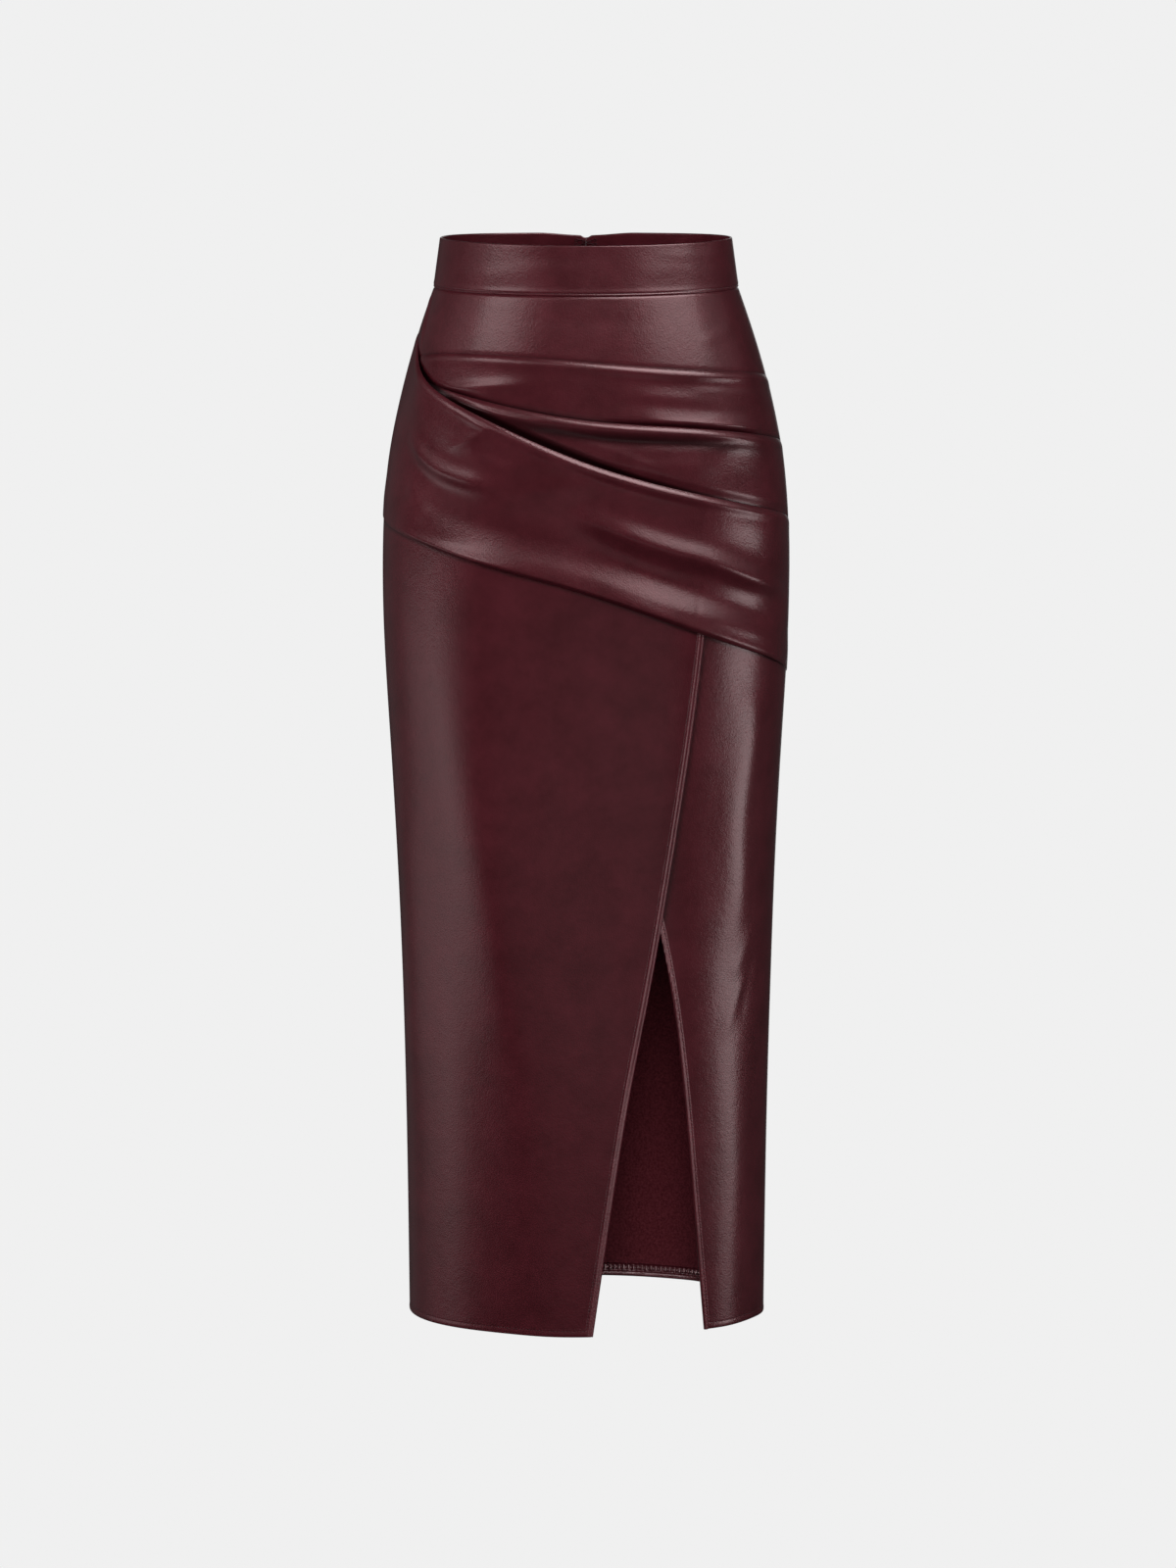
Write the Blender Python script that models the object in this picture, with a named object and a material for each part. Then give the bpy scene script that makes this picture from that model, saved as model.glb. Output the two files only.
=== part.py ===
"""A high-waisted wrap skirt in thin leather, standing as it is worn, hollow and open at waist and hem.

The cloth follows one body form, a stack of rounded sections. A place on it is a bearing, in degrees
from the centre front (-Y) towards the wearer's left (+X), and a level, in millimetres above the
middle of the waistband. Every piece is a wall between two skins, moved out from the form by named
amounts, so that what lies on a panel is made from that panel's own points.
"""

import math

import bmesh
import bpy
import numpy as np
from mathutils import Matrix, Vector

MM = 0.001

# ---------------------------------------------------------------- driving sizes, in millimetres
LEATHER = 1.2
SEAM_GAP = 0.3
LAY_GAP = 0.7
UNDERLAP = 12.0
TURN = 8.0
TURN_SLOPE = 1.5
BAND_HEIGHT = 42.0
BAND_OUT = 1.8
BAND_IN = -0.3
BAND_EDGE_ROUNDING = 0.6
SASH_BOTTOM_TURN = 0.6
WRAP_TURN = 1.0
UNDER_TURN = 1.1
HEM_LEVEL = -916.5
HEM_RISE = 1.5
SLIT_TOP = -290.0
UNDER_EDGE_FREE = -600.0
SIDE = 90.0
SEAM_DEGREES = 0.08
SQUARENESS = 0.02
FRONT_COLUMNS = 25
BACK_COLUMNS = 13

# One row for each section of the form: its level, half its width, its depth before and behind.
SECTIONS = (
    # level, half_width, front_depth, back_depth
    (21.0, 123.0, 84.0, 92.0),
    (-21.0, 128.8, 90.0, 97.0),
    (-60.0, 142.2, 98.0, 104.0),
    (-110.0, 156.6, 106.0, 113.0),
    (-165.0, 168.0, 110.5, 122.0),
    (-230.0, 173.4, 112.0, 128.0),
    (-310.0, 173.4, 110.0, 126.0),
    (-400.0, 168.8, 107.0, 119.0),
    (-540.0, 161.4, 102.5, 114.0),
    (-720.0, 156.2, 98.5, 113.0),
    (-916.0, 154.0, 96.0, 114.0),
)
WAIST_SEAM_ROW = 1

# One row for each line across the front: its level at eight bearings, from side seam to side seam.
LINE_BEARINGS = (-90.0, -75.0, -60.0, -30.0, 0.0, 30.0, 60.0, 90.0)
LINES = {
    # name: right_side, -75, -60, -30, centre, 30, 60, left_side
    "upper_fold": (-86.0, -80.4, -76.6, -75.8, -81.0, -87.3, -91.7, -97.5),
    "lower_fold": (-88.0, -92.0, -99.0, -115.0, -129.3, -136.0, -144.6, -153.0),
    "sash_top": (-59.0, -72.3, -94.0, -129.5, -164.5, -190.0, -207.0, -219.0),
    "sash_bottom": (-216.5, -222.6, -229.5, -251.0, -275.0, -307.0, -333.0, -352.0),
    # how far the sash stands off the form at its two long edges
    "sash_top_stack": (1.5, 4.8, 6.2, 4.2, 2.1, 1.6, 1.6, 1.5),
    "sash_bottom_stack": (1.5, 1.7, 2.0, 2.3, 3.6, 4.9, 3.0, 1.6),
}

# One row for each edge of the slit at a level: the bearing of the upper edge and of the lower one.
SLIT = (
    # level, wrap_edge, under_edge
    (-290.0, 34.9, -1.0),
    (-400.0, 31.0, 7.5),
    (-485.0, 27.1, 15.2),
    (-563.0, 22.9, 22.6),
    (-624.0, 19.2, 27.3),
    (-700.0, 14.1, 31.5),
    (-800.0, 8.3, 35.6),
    (-916.0, 2.2, 40.3),
)

# One row for each soft fold: its height, its reach above and below (or to the right and left of) the
# crest, and the crest as bearings and levels, from end to end.
SASH_FOLDS = (
    # height, above, below, crest
    (3.6, 34.0, 12.0, ((-60, -146), (-51, -161), (-43, -170), (-34, -175), (-20, -183))),
    (1.8, 12.0, 16.0, ((-38, -126), (-31, -138), (-36, -147), (-43, -155))),
    (4.2, 44.0, 14.0, ((2, -200), (22, -225), (40, -246), (56, -263), (80, -276))),
    (2.0, 26.0, 16.0, ((-56, -227), (-27, -239), (0, -261), (28, -292), (66, -326))),
)
UPPER_PLEAT_FOLDS = (
    (1.6, 8.0, 8.0, ((10, -104), (28, -107), (48, -111), (74, -116))),
    (1.4, 9.0, 8.0, ((12, -121), (40, -127), (70, -131))),
    (1.4, 9.0, 12.0, ((-58, -97), (-38, -95), (-16, -95))),
)
LOWER_PLEAT_FOLDS = ((2.2, 9.0, 14.0, ((-2, -150), (22, -160), (44, -158), (72, -166))),)
WRAP_FOLDS = (
    (6.5, 95.0, 62.0, ((-41, -250), (-36, -400), (-26, -540), (-18, -650), (-13, -820), (-12, -1400))),
    (1.6, 30.0, 30.0, ((-78, -420), (-70, -560), (-72, -760))),
)
UNDER_FOLDS = (
    (2.6, 26.0, 30.0, ((50, -330), (55, -400), (51, -470), (52, -540), (45, -600))),
    (2.8, 30.0, 26.0, ((48, -590), (49, -680), (54, -780), (50, -880), (46, -1300))),
    (1.6, 24.0, 24.0, ((80, -400), (82, -600), (80, -800), (80, -1200))),
)
BACK_FOLDS = (
    (2.2, 24.0, 20.0, ((108, -318), (132, -340), (158, -334))),
    (1.8, 30.0, 26.0, ((138, -420), (144, -560), (140, -720), (146, -1300))),
    (2.0, 22.0, 18.0, ((-112, -330), (-134, -352), (-152, -350))),
    (2.2, 30.0, 30.0, ((-124, -400), (-130, -600), (-126, -780), (-128, -1300))),
    (1.6, 20.0, 16.0, ((-140, -372), (-120, -398), (-108, -400))),
)

# The closing at the centre back.
BAND_END_GAP = 0.8
BAND_CORNER_DROP = 1.6
BAND_CORNER_DEGREES = 2.8
SEAM_HALF_GAP = 0.25
ZIP_BOTTOM = -205.0
TAPE_WIDTH = 10.0
TAPE_HALF_GAP = 1.0
TAPE_CLEARANCE = 0.45
TAPE_THICKNESS = 1.0
SLIDER_LEVEL = 4.0
SLIDER_HALF = (3.0, 1.3, 4.6)
SLIDER_CLEARANCE = 0.4
NECK_HALF = (0.5, 1.9)
PIVOT_HEIGHT = 1.3
BAIL_INNER = 1.15
BAIL_OUTER = 2.1
BAIL_HALF_WIDTH = 0.6
PULL_LENGTH = 26.0
PULL_HALF_THICKNESS = 0.5
CROSSBAR_HALF = 0.55
HOOK_LEVEL = 14.5
WIRE_RADIUS = 0.45
WIRE_CLEARANCE = 0.5

BURGUNDY = (0.060, 0.012, 0.019)
TAPE_RED = (0.045, 0.010, 0.014)
NICKEL = (0.62, 0.60, 0.58)


# ---------------------------------------------------------------- curves and the body form
def curve_through(places, values):
    """A function of place whose smooth curve, a natural cubic spline, passes through the values."""
    order = np.argsort(places)
    x = np.array(places, float)[order]
    y = np.array(values, float)[order]
    step = np.diff(x)
    count = len(x)
    system = np.zeros((count, count))
    right = np.zeros(count)
    system[0, :2] = 2 * step[0], step[0]
    system[-1, -2:] = step[-1], 2 * step[-1]
    right[0] = 3 * (y[1] - y[0])
    right[-1] = 3 * (y[-1] - y[-2])
    for i in range(1, count - 1):
        system[i, i - 1 : i + 2] = step[i], 2 * (step[i - 1] + step[i]), step[i - 1]
        before = step[i] * (y[i] - y[i - 1]) / step[i - 1]
        after = step[i - 1] * (y[i + 1] - y[i]) / step[i]
        right[i] = 3 * (before + after)
    slope = np.linalg.solve(system, right)

    def curve(at):
        k = np.clip(np.searchsorted(x, at) - 1, 0, count - 2)
        t = (at - x[k]) / step[k]
        start = (1 + 2 * t) * (1 - t) ** 2 * y[k] + t * (1 - t) ** 2 * step[k] * slope[k]
        end = t * t * (3 - 2 * t) * y[k + 1] + t * t * (t - 1) * step[k] * slope[k + 1]
        return start + end

    return curve


LOWER_LEVELS = [row[0] for row in SECTIONS[WAIST_SEAM_ROW:]]
SKIRT_SIZES = [
    curve_through(LOWER_LEVELS, [row[column] for row in SECTIONS[WAIST_SEAM_ROW:]])
    for column in (1, 2, 3)
]
FRONT_LINE = {name: curve_through(LINE_BEARINGS, levels) for name, levels in LINES.items()}
SLIT_CURVES = [curve_through([row[0] for row in SLIT], [row[edge] for row in SLIT]) for edge in (1, 2)]


def wrap_edge(level):
    """The bearing of the wrap's slanting edge; above the slit's table it runs straight up."""
    return SLIT_CURVES[0](np.clip(level, HEM_LEVEL, SLIT_TOP))


def under_edge(level):
    return SLIT_CURVES[1](np.clip(level, HEM_LEVEL, SLIT_TOP))


def fade(distance, full, none):
    """1 up to the distance full, 0 beyond the distance none, and a smooth fall between them."""
    t = np.clip((distance - full) / (none - full), 0.0, 1.0)
    return 1.0 - t * t * (3.0 - 2.0 * t)


def section_sizes(level):
    """Half width, front depth and back depth of the form at a level; the waistband's sides are straight."""
    top, seam = SECTIONS[0], SECTIONS[WAIST_SEAM_ROW]
    up = (level - seam[0]) / (top[0] - seam[0])
    band = [seam[i] + (top[i] - seam[i]) * up for i in (1, 2, 3)]
    return [np.where(up > 0, b, s(level)) for b, s in zip(band, SKIRT_SIZES)]


def form_point(bearing, level):
    half_width, front, back = section_sizes(level)
    angle = np.radians(bearing)
    swell = 1 + SQUARENESS * np.sin(2 * angle) ** 2
    depth = np.where(np.cos(angle) > 0, front, back)
    x = half_width * np.sin(angle) * swell
    y = -depth * np.cos(angle) * swell
    return np.stack([x, y, level], axis=-1)


def skin_point(bearing, level, offset):
    """The point of the form at a bearing and level, moved out along the form's normal."""
    turn, rise = 0.05, 0.5
    across = form_point(bearing + turn, level) - form_point(bearing - turn, level)
    up = form_point(bearing, level + rise) - form_point(bearing, level - rise)
    normal = np.cross(across, up)
    normal /= np.linalg.norm(normal, axis=-1, keepdims=True)
    return form_point(bearing, level) + normal * np.asarray(offset)[..., None]


def arc_per_degree(bearing, level):
    """Millimetres round the form for one degree of bearing."""
    around = form_point(bearing + 0.5, level) - form_point(bearing - 0.5, level)
    return np.linalg.norm(around, axis=-1)


def rim_level(bearing):
    """The waistband's upper edge, which dips at the front and softly again at the closing behind."""
    ahead = np.cos(np.radians(bearing))
    closing_dip = 2.2 * fade(180.0 - np.abs(bearing), 2.0, 20.0)
    return 21.0 - 3.7 * ahead - 1.8 * ahead**2 - closing_dip


def hem_level(bearing):
    """The hem, lowest at the centre front and a little raised behind."""
    return HEM_LEVEL + HEM_RISE * (1.0 - np.cos(np.radians(bearing)))


def fold_relief(bearing, level, folds):
    """How far soft folds lift the cloth; each one rises and ends smoothly along its crest."""
    relief = np.zeros(np.broadcast(bearing, level).shape)
    for height, above, below, crest in folds:
        points = np.array(crest, float)
        scale = float(arc_per_degree(points[:, 0].mean(), np.clip(points[:, 1].mean(), HEM_LEVEL, 0.0)))
        points[:, 0] *= scale
        run = np.diff(points, axis=0)
        lengths = np.linalg.norm(run, axis=1)
        starts = np.append(0.0, np.cumsum(lengths)[:-1])
        best = np.full(relief.shape, np.inf)
        share, side = np.zeros(relief.shape), np.zeros(relief.shape)
        for begin, step, length, start in zip(points, run, lengths, starts):
            dx, dz = bearing * scale - begin[0], level - begin[1]
            t = np.clip((dx * step[0] + dz * step[1]) / length**2, 0.0, 1.0)
            away = np.hypot(dx - t * step[0], dz - t * step[1])
            nearer = away < best
            best = np.where(nearer, away, best)
            share = np.where(nearer, (start + t * length) / lengths.sum(), share)
            side = np.where(nearer, step[0] * dz - step[1] * dx, side)
        reach = np.where(side > 0, above, below)
        ends = 1.0 - fade(np.minimum(share, 1.0 - share), 0.0, 0.3)
        relief = relief + height * ends * np.exp(-2.2 * (best / reach) ** 2)
    return relief


# ---------------------------------------------------------------- making solids
def material(name, colour, roughness, metallic=0.0):
    found = bpy.data.materials.get(name)
    if found:
        return found
    made = bpy.data.materials.new(name)
    made.use_nodes = True
    shader = made.node_tree.nodes["Principled BSDF"]
    shader.inputs["Base Color"].default_value = (*colour, 1.0)
    shader.inputs["Roughness"].default_value = roughness
    shader.inputs["Metallic"].default_value = metallic
    return made


def leather():
    return material("burgundy leather", BURGUNDY, 0.36)


def add_object(name, mesh, finish):
    mesh.materials.append(finish)
    mesh.shade_smooth()
    mesh.set_sharp_from_angle(angle=math.radians(40))
    made = bpy.data.objects.new(name, mesh)
    bpy.context.scene.collection.objects.link(made)
    return made


def cloth_wall(name, bearing, level, inner, outer, finish=None):
    """A closed wall between two grids of points, an inner skin and an outer one, with a rim round them."""
    rows, columns = bearing.shape
    work = bmesh.new()
    skins = []
    for offset in (outer, inner):
        points = skin_point(bearing, level, offset) * MM
        skins.append([[work.verts.new(points[i, j]) for j in range(columns)] for i in range(rows)])
    front, back = skins
    for i in range(rows - 1):
        for j in range(columns - 1):
            work.faces.new([front[i][j], front[i + 1][j], front[i + 1][j + 1], front[i][j + 1]])
            work.faces.new([back[i][j], back[i][j + 1], back[i + 1][j + 1], back[i + 1][j]])
    rim = [(0, j) for j in range(columns)]
    rim += [(i, columns - 1) for i in range(1, rows)]
    rim += [(rows - 1, j) for j in range(columns - 2, -1, -1)]
    rim += [(i, 0) for i in range(rows - 2, 0, -1)]
    for (i, j), (k, m) in zip(rim, rim[1:] + rim[:1]):
        work.faces.new([front[i][j], front[k][m], back[k][m], back[i][j]])
    bmesh.ops.recalc_face_normals(work, faces=work.faces)
    mesh = bpy.data.meshes.new(name)
    work.to_mesh(mesh)
    work.free()
    return add_object(name, mesh, finish or leather())


def wire(name, points, radius, finish):
    """A bent metal wire along a list of points, in millimetres, with closed ends."""
    path = bpy.data.curves.new(name, "CURVE")
    path.dimensions = "3D"
    path.bevel_depth = radius * MM
    path.bevel_resolution = 2
    path.use_fill_caps = True
    spline = path.splines.new("POLY")
    spline.points.add(len(points) - 1)
    for place, point in zip(spline.points, points):
        place.co = (*(Vector(point) * MM), 1.0)
    path.materials.append(finish)
    made = bpy.data.objects.new(name, path)
    bpy.context.scene.collection.objects.link(made)
    return made


# ---------------------------------------------------------------- rows and columns of the pieces
def across_front(first, last, columns=FRONT_COLUMNS):
    """The front's shared bearings between two of them, with the side seams' gap left at its ends."""
    shared = np.linspace(-SIDE, SIDE, columns)
    kept = shared[(shared >= first - 0.01) & (shared <= last + 0.01)]
    return np.clip(kept, -SIDE + SEAM_DEGREES, SIDE - SEAM_DEGREES)


def across_back(side):
    """From a side seam to the centre back, on the wearer's left (side 1) or right (side -1)."""
    return side * np.linspace(SIDE + SEAM_DEGREES, 180.0, BACK_COLUMNS)


def short_of_centre(distance, level):
    """The bearing, without its sign, of a place a distance short of the centre back."""
    level = np.asarray(level, float)
    return 180.0 - distance / arc_per_degree(np.full(level.shape, 179.0), level)


def rows_between(top, bottom, from_top, from_bottom, between):
    """Levels for each column: named distances in from each edge, and even steps between them.

    Where a column is too short for the named distances, they shrink to leave room for the steps.
    """
    squeeze = np.minimum(1.0, 0.8 * (top - bottom) / (from_top[-1] + from_bottom[-1] + 0.1))
    head = [top - d * squeeze for d in from_top]
    foot = [bottom + d * squeeze for d in reversed(from_bottom)]
    shares = np.linspace(0.0, 1.0, between + 2)[1:-1]
    body = [head[-1] + (foot[0] - head[-1]) * share for share in shares]
    return np.array(head + body + foot)


def columns_of(bearings, level):
    """The same bearings in every row of a grid of levels."""
    return np.tile(bearings, (len(level), 1))


def roll(bearing):
    """How full a folded edge is: it lies flat where the side seams hold it."""
    return 0.15 + 0.85 * fade(np.abs(bearing), 68.0, SIDE)


def piled_edge(bearing, distance, stack, reach):
    """The outer and the inner offset near a folded edge that lies on what is already there."""
    fullness = (LEATHER + SEAM_GAP) * roll(bearing)
    outer = LEATHER + (stack + fullness) * fade(distance, 3.0, reach)
    inner = np.minimum(stack, outer - LEATHER)
    nose = fade(distance, 0.0, 1.2) * roll(bearing)
    return outer - 1.2 * nose, inner + 0.6 * nose


# ---------------------------------------------------------------- the pieces
def waistband_piece(name, bearings):
    """A doubled band with a rounded upper edge, whose corners at the closing are turned away."""
    drops = np.array([0.0, 1.0, BAND_HEIGHT / 3, 2 * BAND_HEIGHT / 3, BAND_HEIGHT])[:, None]
    at_closing = fade(180.0 - np.abs(bearings), 0.5, BAND_CORNER_DEGREES)
    corner = BAND_CORNER_DROP * at_closing * fade(drops, 0.0, BAND_HEIGHT / 3)
    level = rim_level(bearings) - drops - corner
    rounding = BAND_EDGE_ROUNDING * fade(drops, 0.0, 1.0) * np.ones_like(level)
    cloth_wall(name, columns_of(bearings, level), level, BAND_IN + rounding, BAND_OUT - rounding)


def waistband():
    waistband_piece("waistband_front", across_front(-SIDE, SIDE))
    corner, end = 180.0 - BAND_CORNER_DEGREES, short_of_centre(BAND_END_GAP, 0.0)
    for side, name in ((1, "waistband_back_left"), (-1, "waistband_back_right")):
        waistband_piece(name, np.append(across_back(side)[:-1], [side * corner, side * end]))


def front_yoke():
    """The smooth panel under the waistband; its raw lower edge is hidden by the folds."""
    bearings = across_front(-SIDE, SIDE)
    top = rim_level(bearings) - BAND_HEIGHT - SEAM_GAP
    shown_to = np.maximum(FRONT_LINE["upper_fold"](bearings), FRONT_LINE["sash_top"](bearings))
    level = rows_between(top, shown_to - UNDERLAP, (0.0,), (0.0,), between=4)
    outer = np.full(level.shape, LEATHER)
    cloth_wall("front_yoke", columns_of(bearings, level), level, outer - LEATHER, outer)


def at_seams(bearing):
    """1 away from the side seams, falling to 0 at them, so that neighbours meet flush."""
    return fade(-np.abs(np.abs(bearing) - SIDE), -12.0, 0.0)


def upper_fold_skins(bearing, level):
    """The outer and the inner offset of the upper pleat, which lies on the yoke."""
    below = FRONT_LINE["upper_fold"](bearing) - level
    return piled_edge(bearing, below, LEATHER + SEAM_GAP, 40.0)


def between_edges(bearing, level, top, bottom, margin):
    """1 inside a piece, falling to 0 at its side seams and a margin short of its long edges."""
    from_top = fade(level - top, -2.0 * margin, -margin)
    from_bottom = fade(bottom - level, -margin, 0.0)
    return from_top * from_bottom * at_seams(bearing)


def upper_pleat():
    """The first fold across the front, lying on the yoke and running in under the sash."""
    bearings = across_front(-75.0, SIDE)
    top = FRONT_LINE["upper_fold"](bearings)
    shown_to = np.maximum(FRONT_LINE["lower_fold"](bearings), FRONT_LINE["sash_top"](bearings))
    bottom = np.minimum(shown_to - UNDERLAP, top - 5.0)
    level = rows_between(top, bottom, (0.0, 1.2, 4.0, 11.0), (0.0, UNDERLAP + 1.0), between=5)
    bearing = columns_of(bearings, level)
    outer, inner = upper_fold_skins(bearing, level)
    relief = fold_relief(bearing, level, UPPER_PLEAT_FOLDS)
    relief *= between_edges(bearing, level, top, bottom + UNDERLAP, 6.0)
    cloth_wall("upper_pleat", bearing, level, inner + relief, outer + relief)


def lower_pleat():
    """The second fold; it stands on the first one and runs in under the sash too."""
    bearings = across_front(-60.0, SIDE)
    top = FRONT_LINE["lower_fold"](bearings)
    bottom = np.minimum(FRONT_LINE["sash_top"](bearings) - UNDERLAP, top - 5.0)
    level = rows_between(top, bottom, (0.0, 1.2, 4.0, 11.0), (0.0, UNDERLAP + 1.0), between=4)
    bearing = columns_of(bearings, level)
    stack = upper_fold_skins(bearings, top)[0] + SEAM_GAP
    outer, inner = piled_edge(bearing, top - level, stack, 34.0)
    relief = fold_relief(bearing, level, LOWER_PLEAT_FOLDS)
    relief *= between_edges(bearing, level, top, bottom + UNDERLAP, 8.0)
    cloth_wall("lower_pleat", bearing, level, inner + relief, outer + relief)


def hip_sash():
    """The wide draped band, folded along both long edges, over the pleats' ends and the lower panels."""
    bearings = across_front(-SIDE, SIDE, 2 * FRONT_COLUMNS - 1)
    top = FRONT_LINE["sash_top"](bearings)
    bottom = FRONT_LINE["sash_bottom"](bearings)
    level = rows_between(top, bottom, (0.0, 1.2, 5.0, 13.5, 26.0), (0.0, 1.0, UNDERLAP + 2.0), between=8)
    bearing = columns_of(bearings, level)
    outer, inner = piled_edge(bearing, top - level, FRONT_LINE["sash_top_stack"](bearing), 48.0)
    stack = FRONT_LINE["sash_bottom_stack"](bearing)
    above = level - bottom
    rise = (stack + SASH_BOTTOM_TURN) * fade(above, UNDERLAP + 1.5, 46.0)
    inner = np.where(above < 50.0, np.minimum(stack, inner + rise), inner)
    outer = outer + rise - SASH_BOTTOM_TURN * fade(above, 0.0, 0.9)
    relief = fold_relief(bearing, level, SASH_FOLDS)
    relief *= between_edges(bearing, level, top, bottom, 12.0)
    cloth_wall("hip_sash", bearing, level, inner + relief, outer + relief)


def hem_turn(bearing, level):
    """How far the turned hem thickens the wall on its inner side."""
    return LEATHER * fade(level - hem_level(bearing), TURN, TURN + TURN_SLOPE)


def panel_levels(bearings):
    top = FRONT_LINE["sash_bottom"](bearings) + UNDERLAP
    at_hem = (0.0, TURN, TURN + TURN_SLOPE)
    return rows_between(top, hem_level(bearings), (0.0, 1.5 * UNDERLAP), at_hem, between=18)


def slanted_grid(first_edge, last_edge, shares):
    """Bearings and levels of a panel with a slanting side, settled one against the other."""
    level = np.full((1, len(shares)), SLIT_TOP)
    for _ in range(6):
        start, end = first_edge(level), last_edge(level)
        bearing = start + (end - start) * shares
        level = panel_levels(bearing[0])
    start, end = first_edge(level), last_edge(level)
    return start + (end - start) * shares, level


def straight_seam(bearing):
    """A panel's side at one bearing, as a function of the level."""
    return lambda level: np.full(np.shape(level), bearing)


def edge_shares(count, turned_share):
    """Even shares of a panel's width, with two more close to its turned edge, at share 1."""
    even = np.linspace(0.0, 1.0, count)
    return np.append(even[:-1], [1.0 - 1.5 * turned_share, 1.0 - turned_share, 1.0])


def wrap_panel():
    """The upper front panel, from the right side seam to its slanting turned edge."""
    right_seam = straight_seam(SEAM_DEGREES - SIDE)
    bearing, level = slanted_grid(right_seam, wrap_edge, edge_shares(16, 0.028))
    from_edge = (wrap_edge(level) - bearing) * arc_per_degree(bearing, level)
    covering = fade(under_edge(level) - bearing, 2.5, 20.0)
    relief = fold_relief(bearing, level, WRAP_FOLDS)
    relief *= fade(level - level[0], -70.0, -25.0) * at_seams(bearing)
    inner = (LEATHER + LAY_GAP) * covering + relief
    outer = inner + LEATHER + WRAP_TURN * fade(from_edge, TURN - TURN_SLOPE, TURN + 4.0)
    cloth_wall("wrap_panel", bearing, level, inner - hem_turn(bearing, level), outer)


def under_panel():
    """The lower front panel, whose turned edge comes out from under the wrap and opens the slit."""
    left_seam = straight_seam(SIDE - SEAM_DEGREES)
    bearing, level = slanted_grid(under_edge, left_seam, 1.0 - edge_shares(12, 0.05)[::-1])
    from_edge = (bearing - under_edge(level)) * arc_per_degree(bearing, level)
    turn = UNDER_TURN * fade(from_edge, 3.0, 8.0) * fade(level - UNDER_EDGE_FREE, -20.0, 15.0)
    clear_of_wrap = fade(wrap_edge(level) - bearing, -14.0, -2.0)
    relief = fold_relief(bearing, level, UNDER_FOLDS) * clear_of_wrap
    relief *= fade(level - level[0], -60.0, -20.0)
    inner = relief - hem_turn(bearing, level) - 0.3 * turn
    cloth_wall("under_panel", bearing, level, inner, LEATHER + turn + relief)


def back_panels():
    """The two back halves, which meet at the zip and, below it, at the centre back seam."""
    for side, name in ((1, "back_left"), (-1, "back_right")):
        bearings = across_back(side)
        top = rim_level(bearings) - BAND_HEIGHT - SEAM_GAP
        at_hem = (0.0, TURN, TURN + TURN_SLOPE)
        level = rows_between(top, hem_level(bearings), (0.0,), at_hem, between=22)
        bearing = columns_of(bearings, level)
        bearing[:, -1] = side * short_of_centre(SEAM_HALF_GAP, level[:, -1])
        relief = fold_relief(bearing, level, BACK_FOLDS)
        relief *= at_seams(bearing) * fade(np.abs(bearing), 160.0, 178.0)
        cloth_wall(name, bearing, level, relief - hem_turn(bearing, level), relief + LEATHER)


def zip_tapes():
    """Two narrow woven tapes behind the closing, from inside the waistband to the end of the zip."""
    weave = material("zip tape", TAPE_RED, 0.8)
    levels = np.linspace(SLIDER_LEVEL + SLIDER_HALF[2] + 1.0, ZIP_BOTTOM, 10)
    middle = TAPE_HALF_GAP + TAPE_WIDTH / 2
    edges = [short_of_centre(d, levels) for d in (TAPE_HALF_GAP + TAPE_WIDTH, middle, TAPE_HALF_GAP)]
    for side, name in ((1, "zip_tape_left"), (-1, "zip_tape_right")):
        bearing = side * np.stack(edges, axis=1)
        level = np.tile(levels[:, None], (1, len(edges)))
        outer = np.full(level.shape, BAND_IN - SEAM_GAP - TAPE_CLEARANCE)
        cloth_wall(name, bearing, level, outer - TAPE_THICKNESS, outer, weave)


# ---------------------------------------------------------------- the metal pieces
def nickel():
    return material("nickel", NICKEL, 0.28, 1.0)


def closing_frame():
    """The place of the slider's pivot and its turn: local x runs across, y out and z up the band."""
    top, foot = (
        skin_point(np.array(180.0), np.array(level), np.array(BAND_OUT))
        for level in (SLIDER_LEVEL, SLIDER_LEVEL - BAND_HEIGHT / 2)
    )
    up = Vector(top - foot).normalized()
    out = Vector((0.0, up.z, -up.y))
    frame = Matrix((Vector((1.0, 0.0, 0.0)), out, up)).transposed().to_4x4()
    frame.translation = (Vector(top) + out * PIVOT_HEIGHT) * MM
    return frame


def object_from(name, work, finish=None):
    """Turns a bmesh modelled in millimetres into an object."""
    bmesh.ops.scale(work, verts=work.verts, vec=(MM, MM, MM))
    mesh = bpy.data.meshes.new(name)
    work.to_mesh(mesh)
    work.free()
    return add_object(name, mesh, finish or nickel())


def block(name, low, high, rounding=0.0):
    """A box between two corners, with its edges rounded where a rounding is given."""
    low, high = Vector(low), Vector(high)
    work = bmesh.new()
    shape = Matrix.Translation((low + high) / 2) @ Matrix.Diagonal((*(high - low), 1.0))
    bmesh.ops.create_cube(work, size=1.0, matrix=shape)
    if rounding:
        bmesh.ops.bevel(work, geom=work.edges[:], offset=rounding, segments=2, profile=0.5, affect="EDGES")
    return object_from(name, work)


def disc(name, radius, half_width):
    """A short cylinder along x."""
    work = bmesh.new()
    turn = Matrix.Rotation(math.radians(90), 4, "Y")
    ends = {"radius1": radius, "radius2": radius, "depth": 2 * half_width}
    bmesh.ops.create_cone(work, cap_ends=True, segments=24, matrix=turn, **ends)
    return object_from(name, work)


def combine(target, tool, operation):
    """Applies a Boolean to the target and removes the tool."""
    step = target.modifiers.new("step", "BOOLEAN")
    step.object, step.operation = tool, operation
    bpy.context.view_layer.update()
    shape = bpy.data.meshes.new_from_object(target.evaluated_get(bpy.context.evaluated_depsgraph_get()))
    target.modifiers.clear()
    target.data = shape
    bpy.data.objects.remove(tool)


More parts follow.
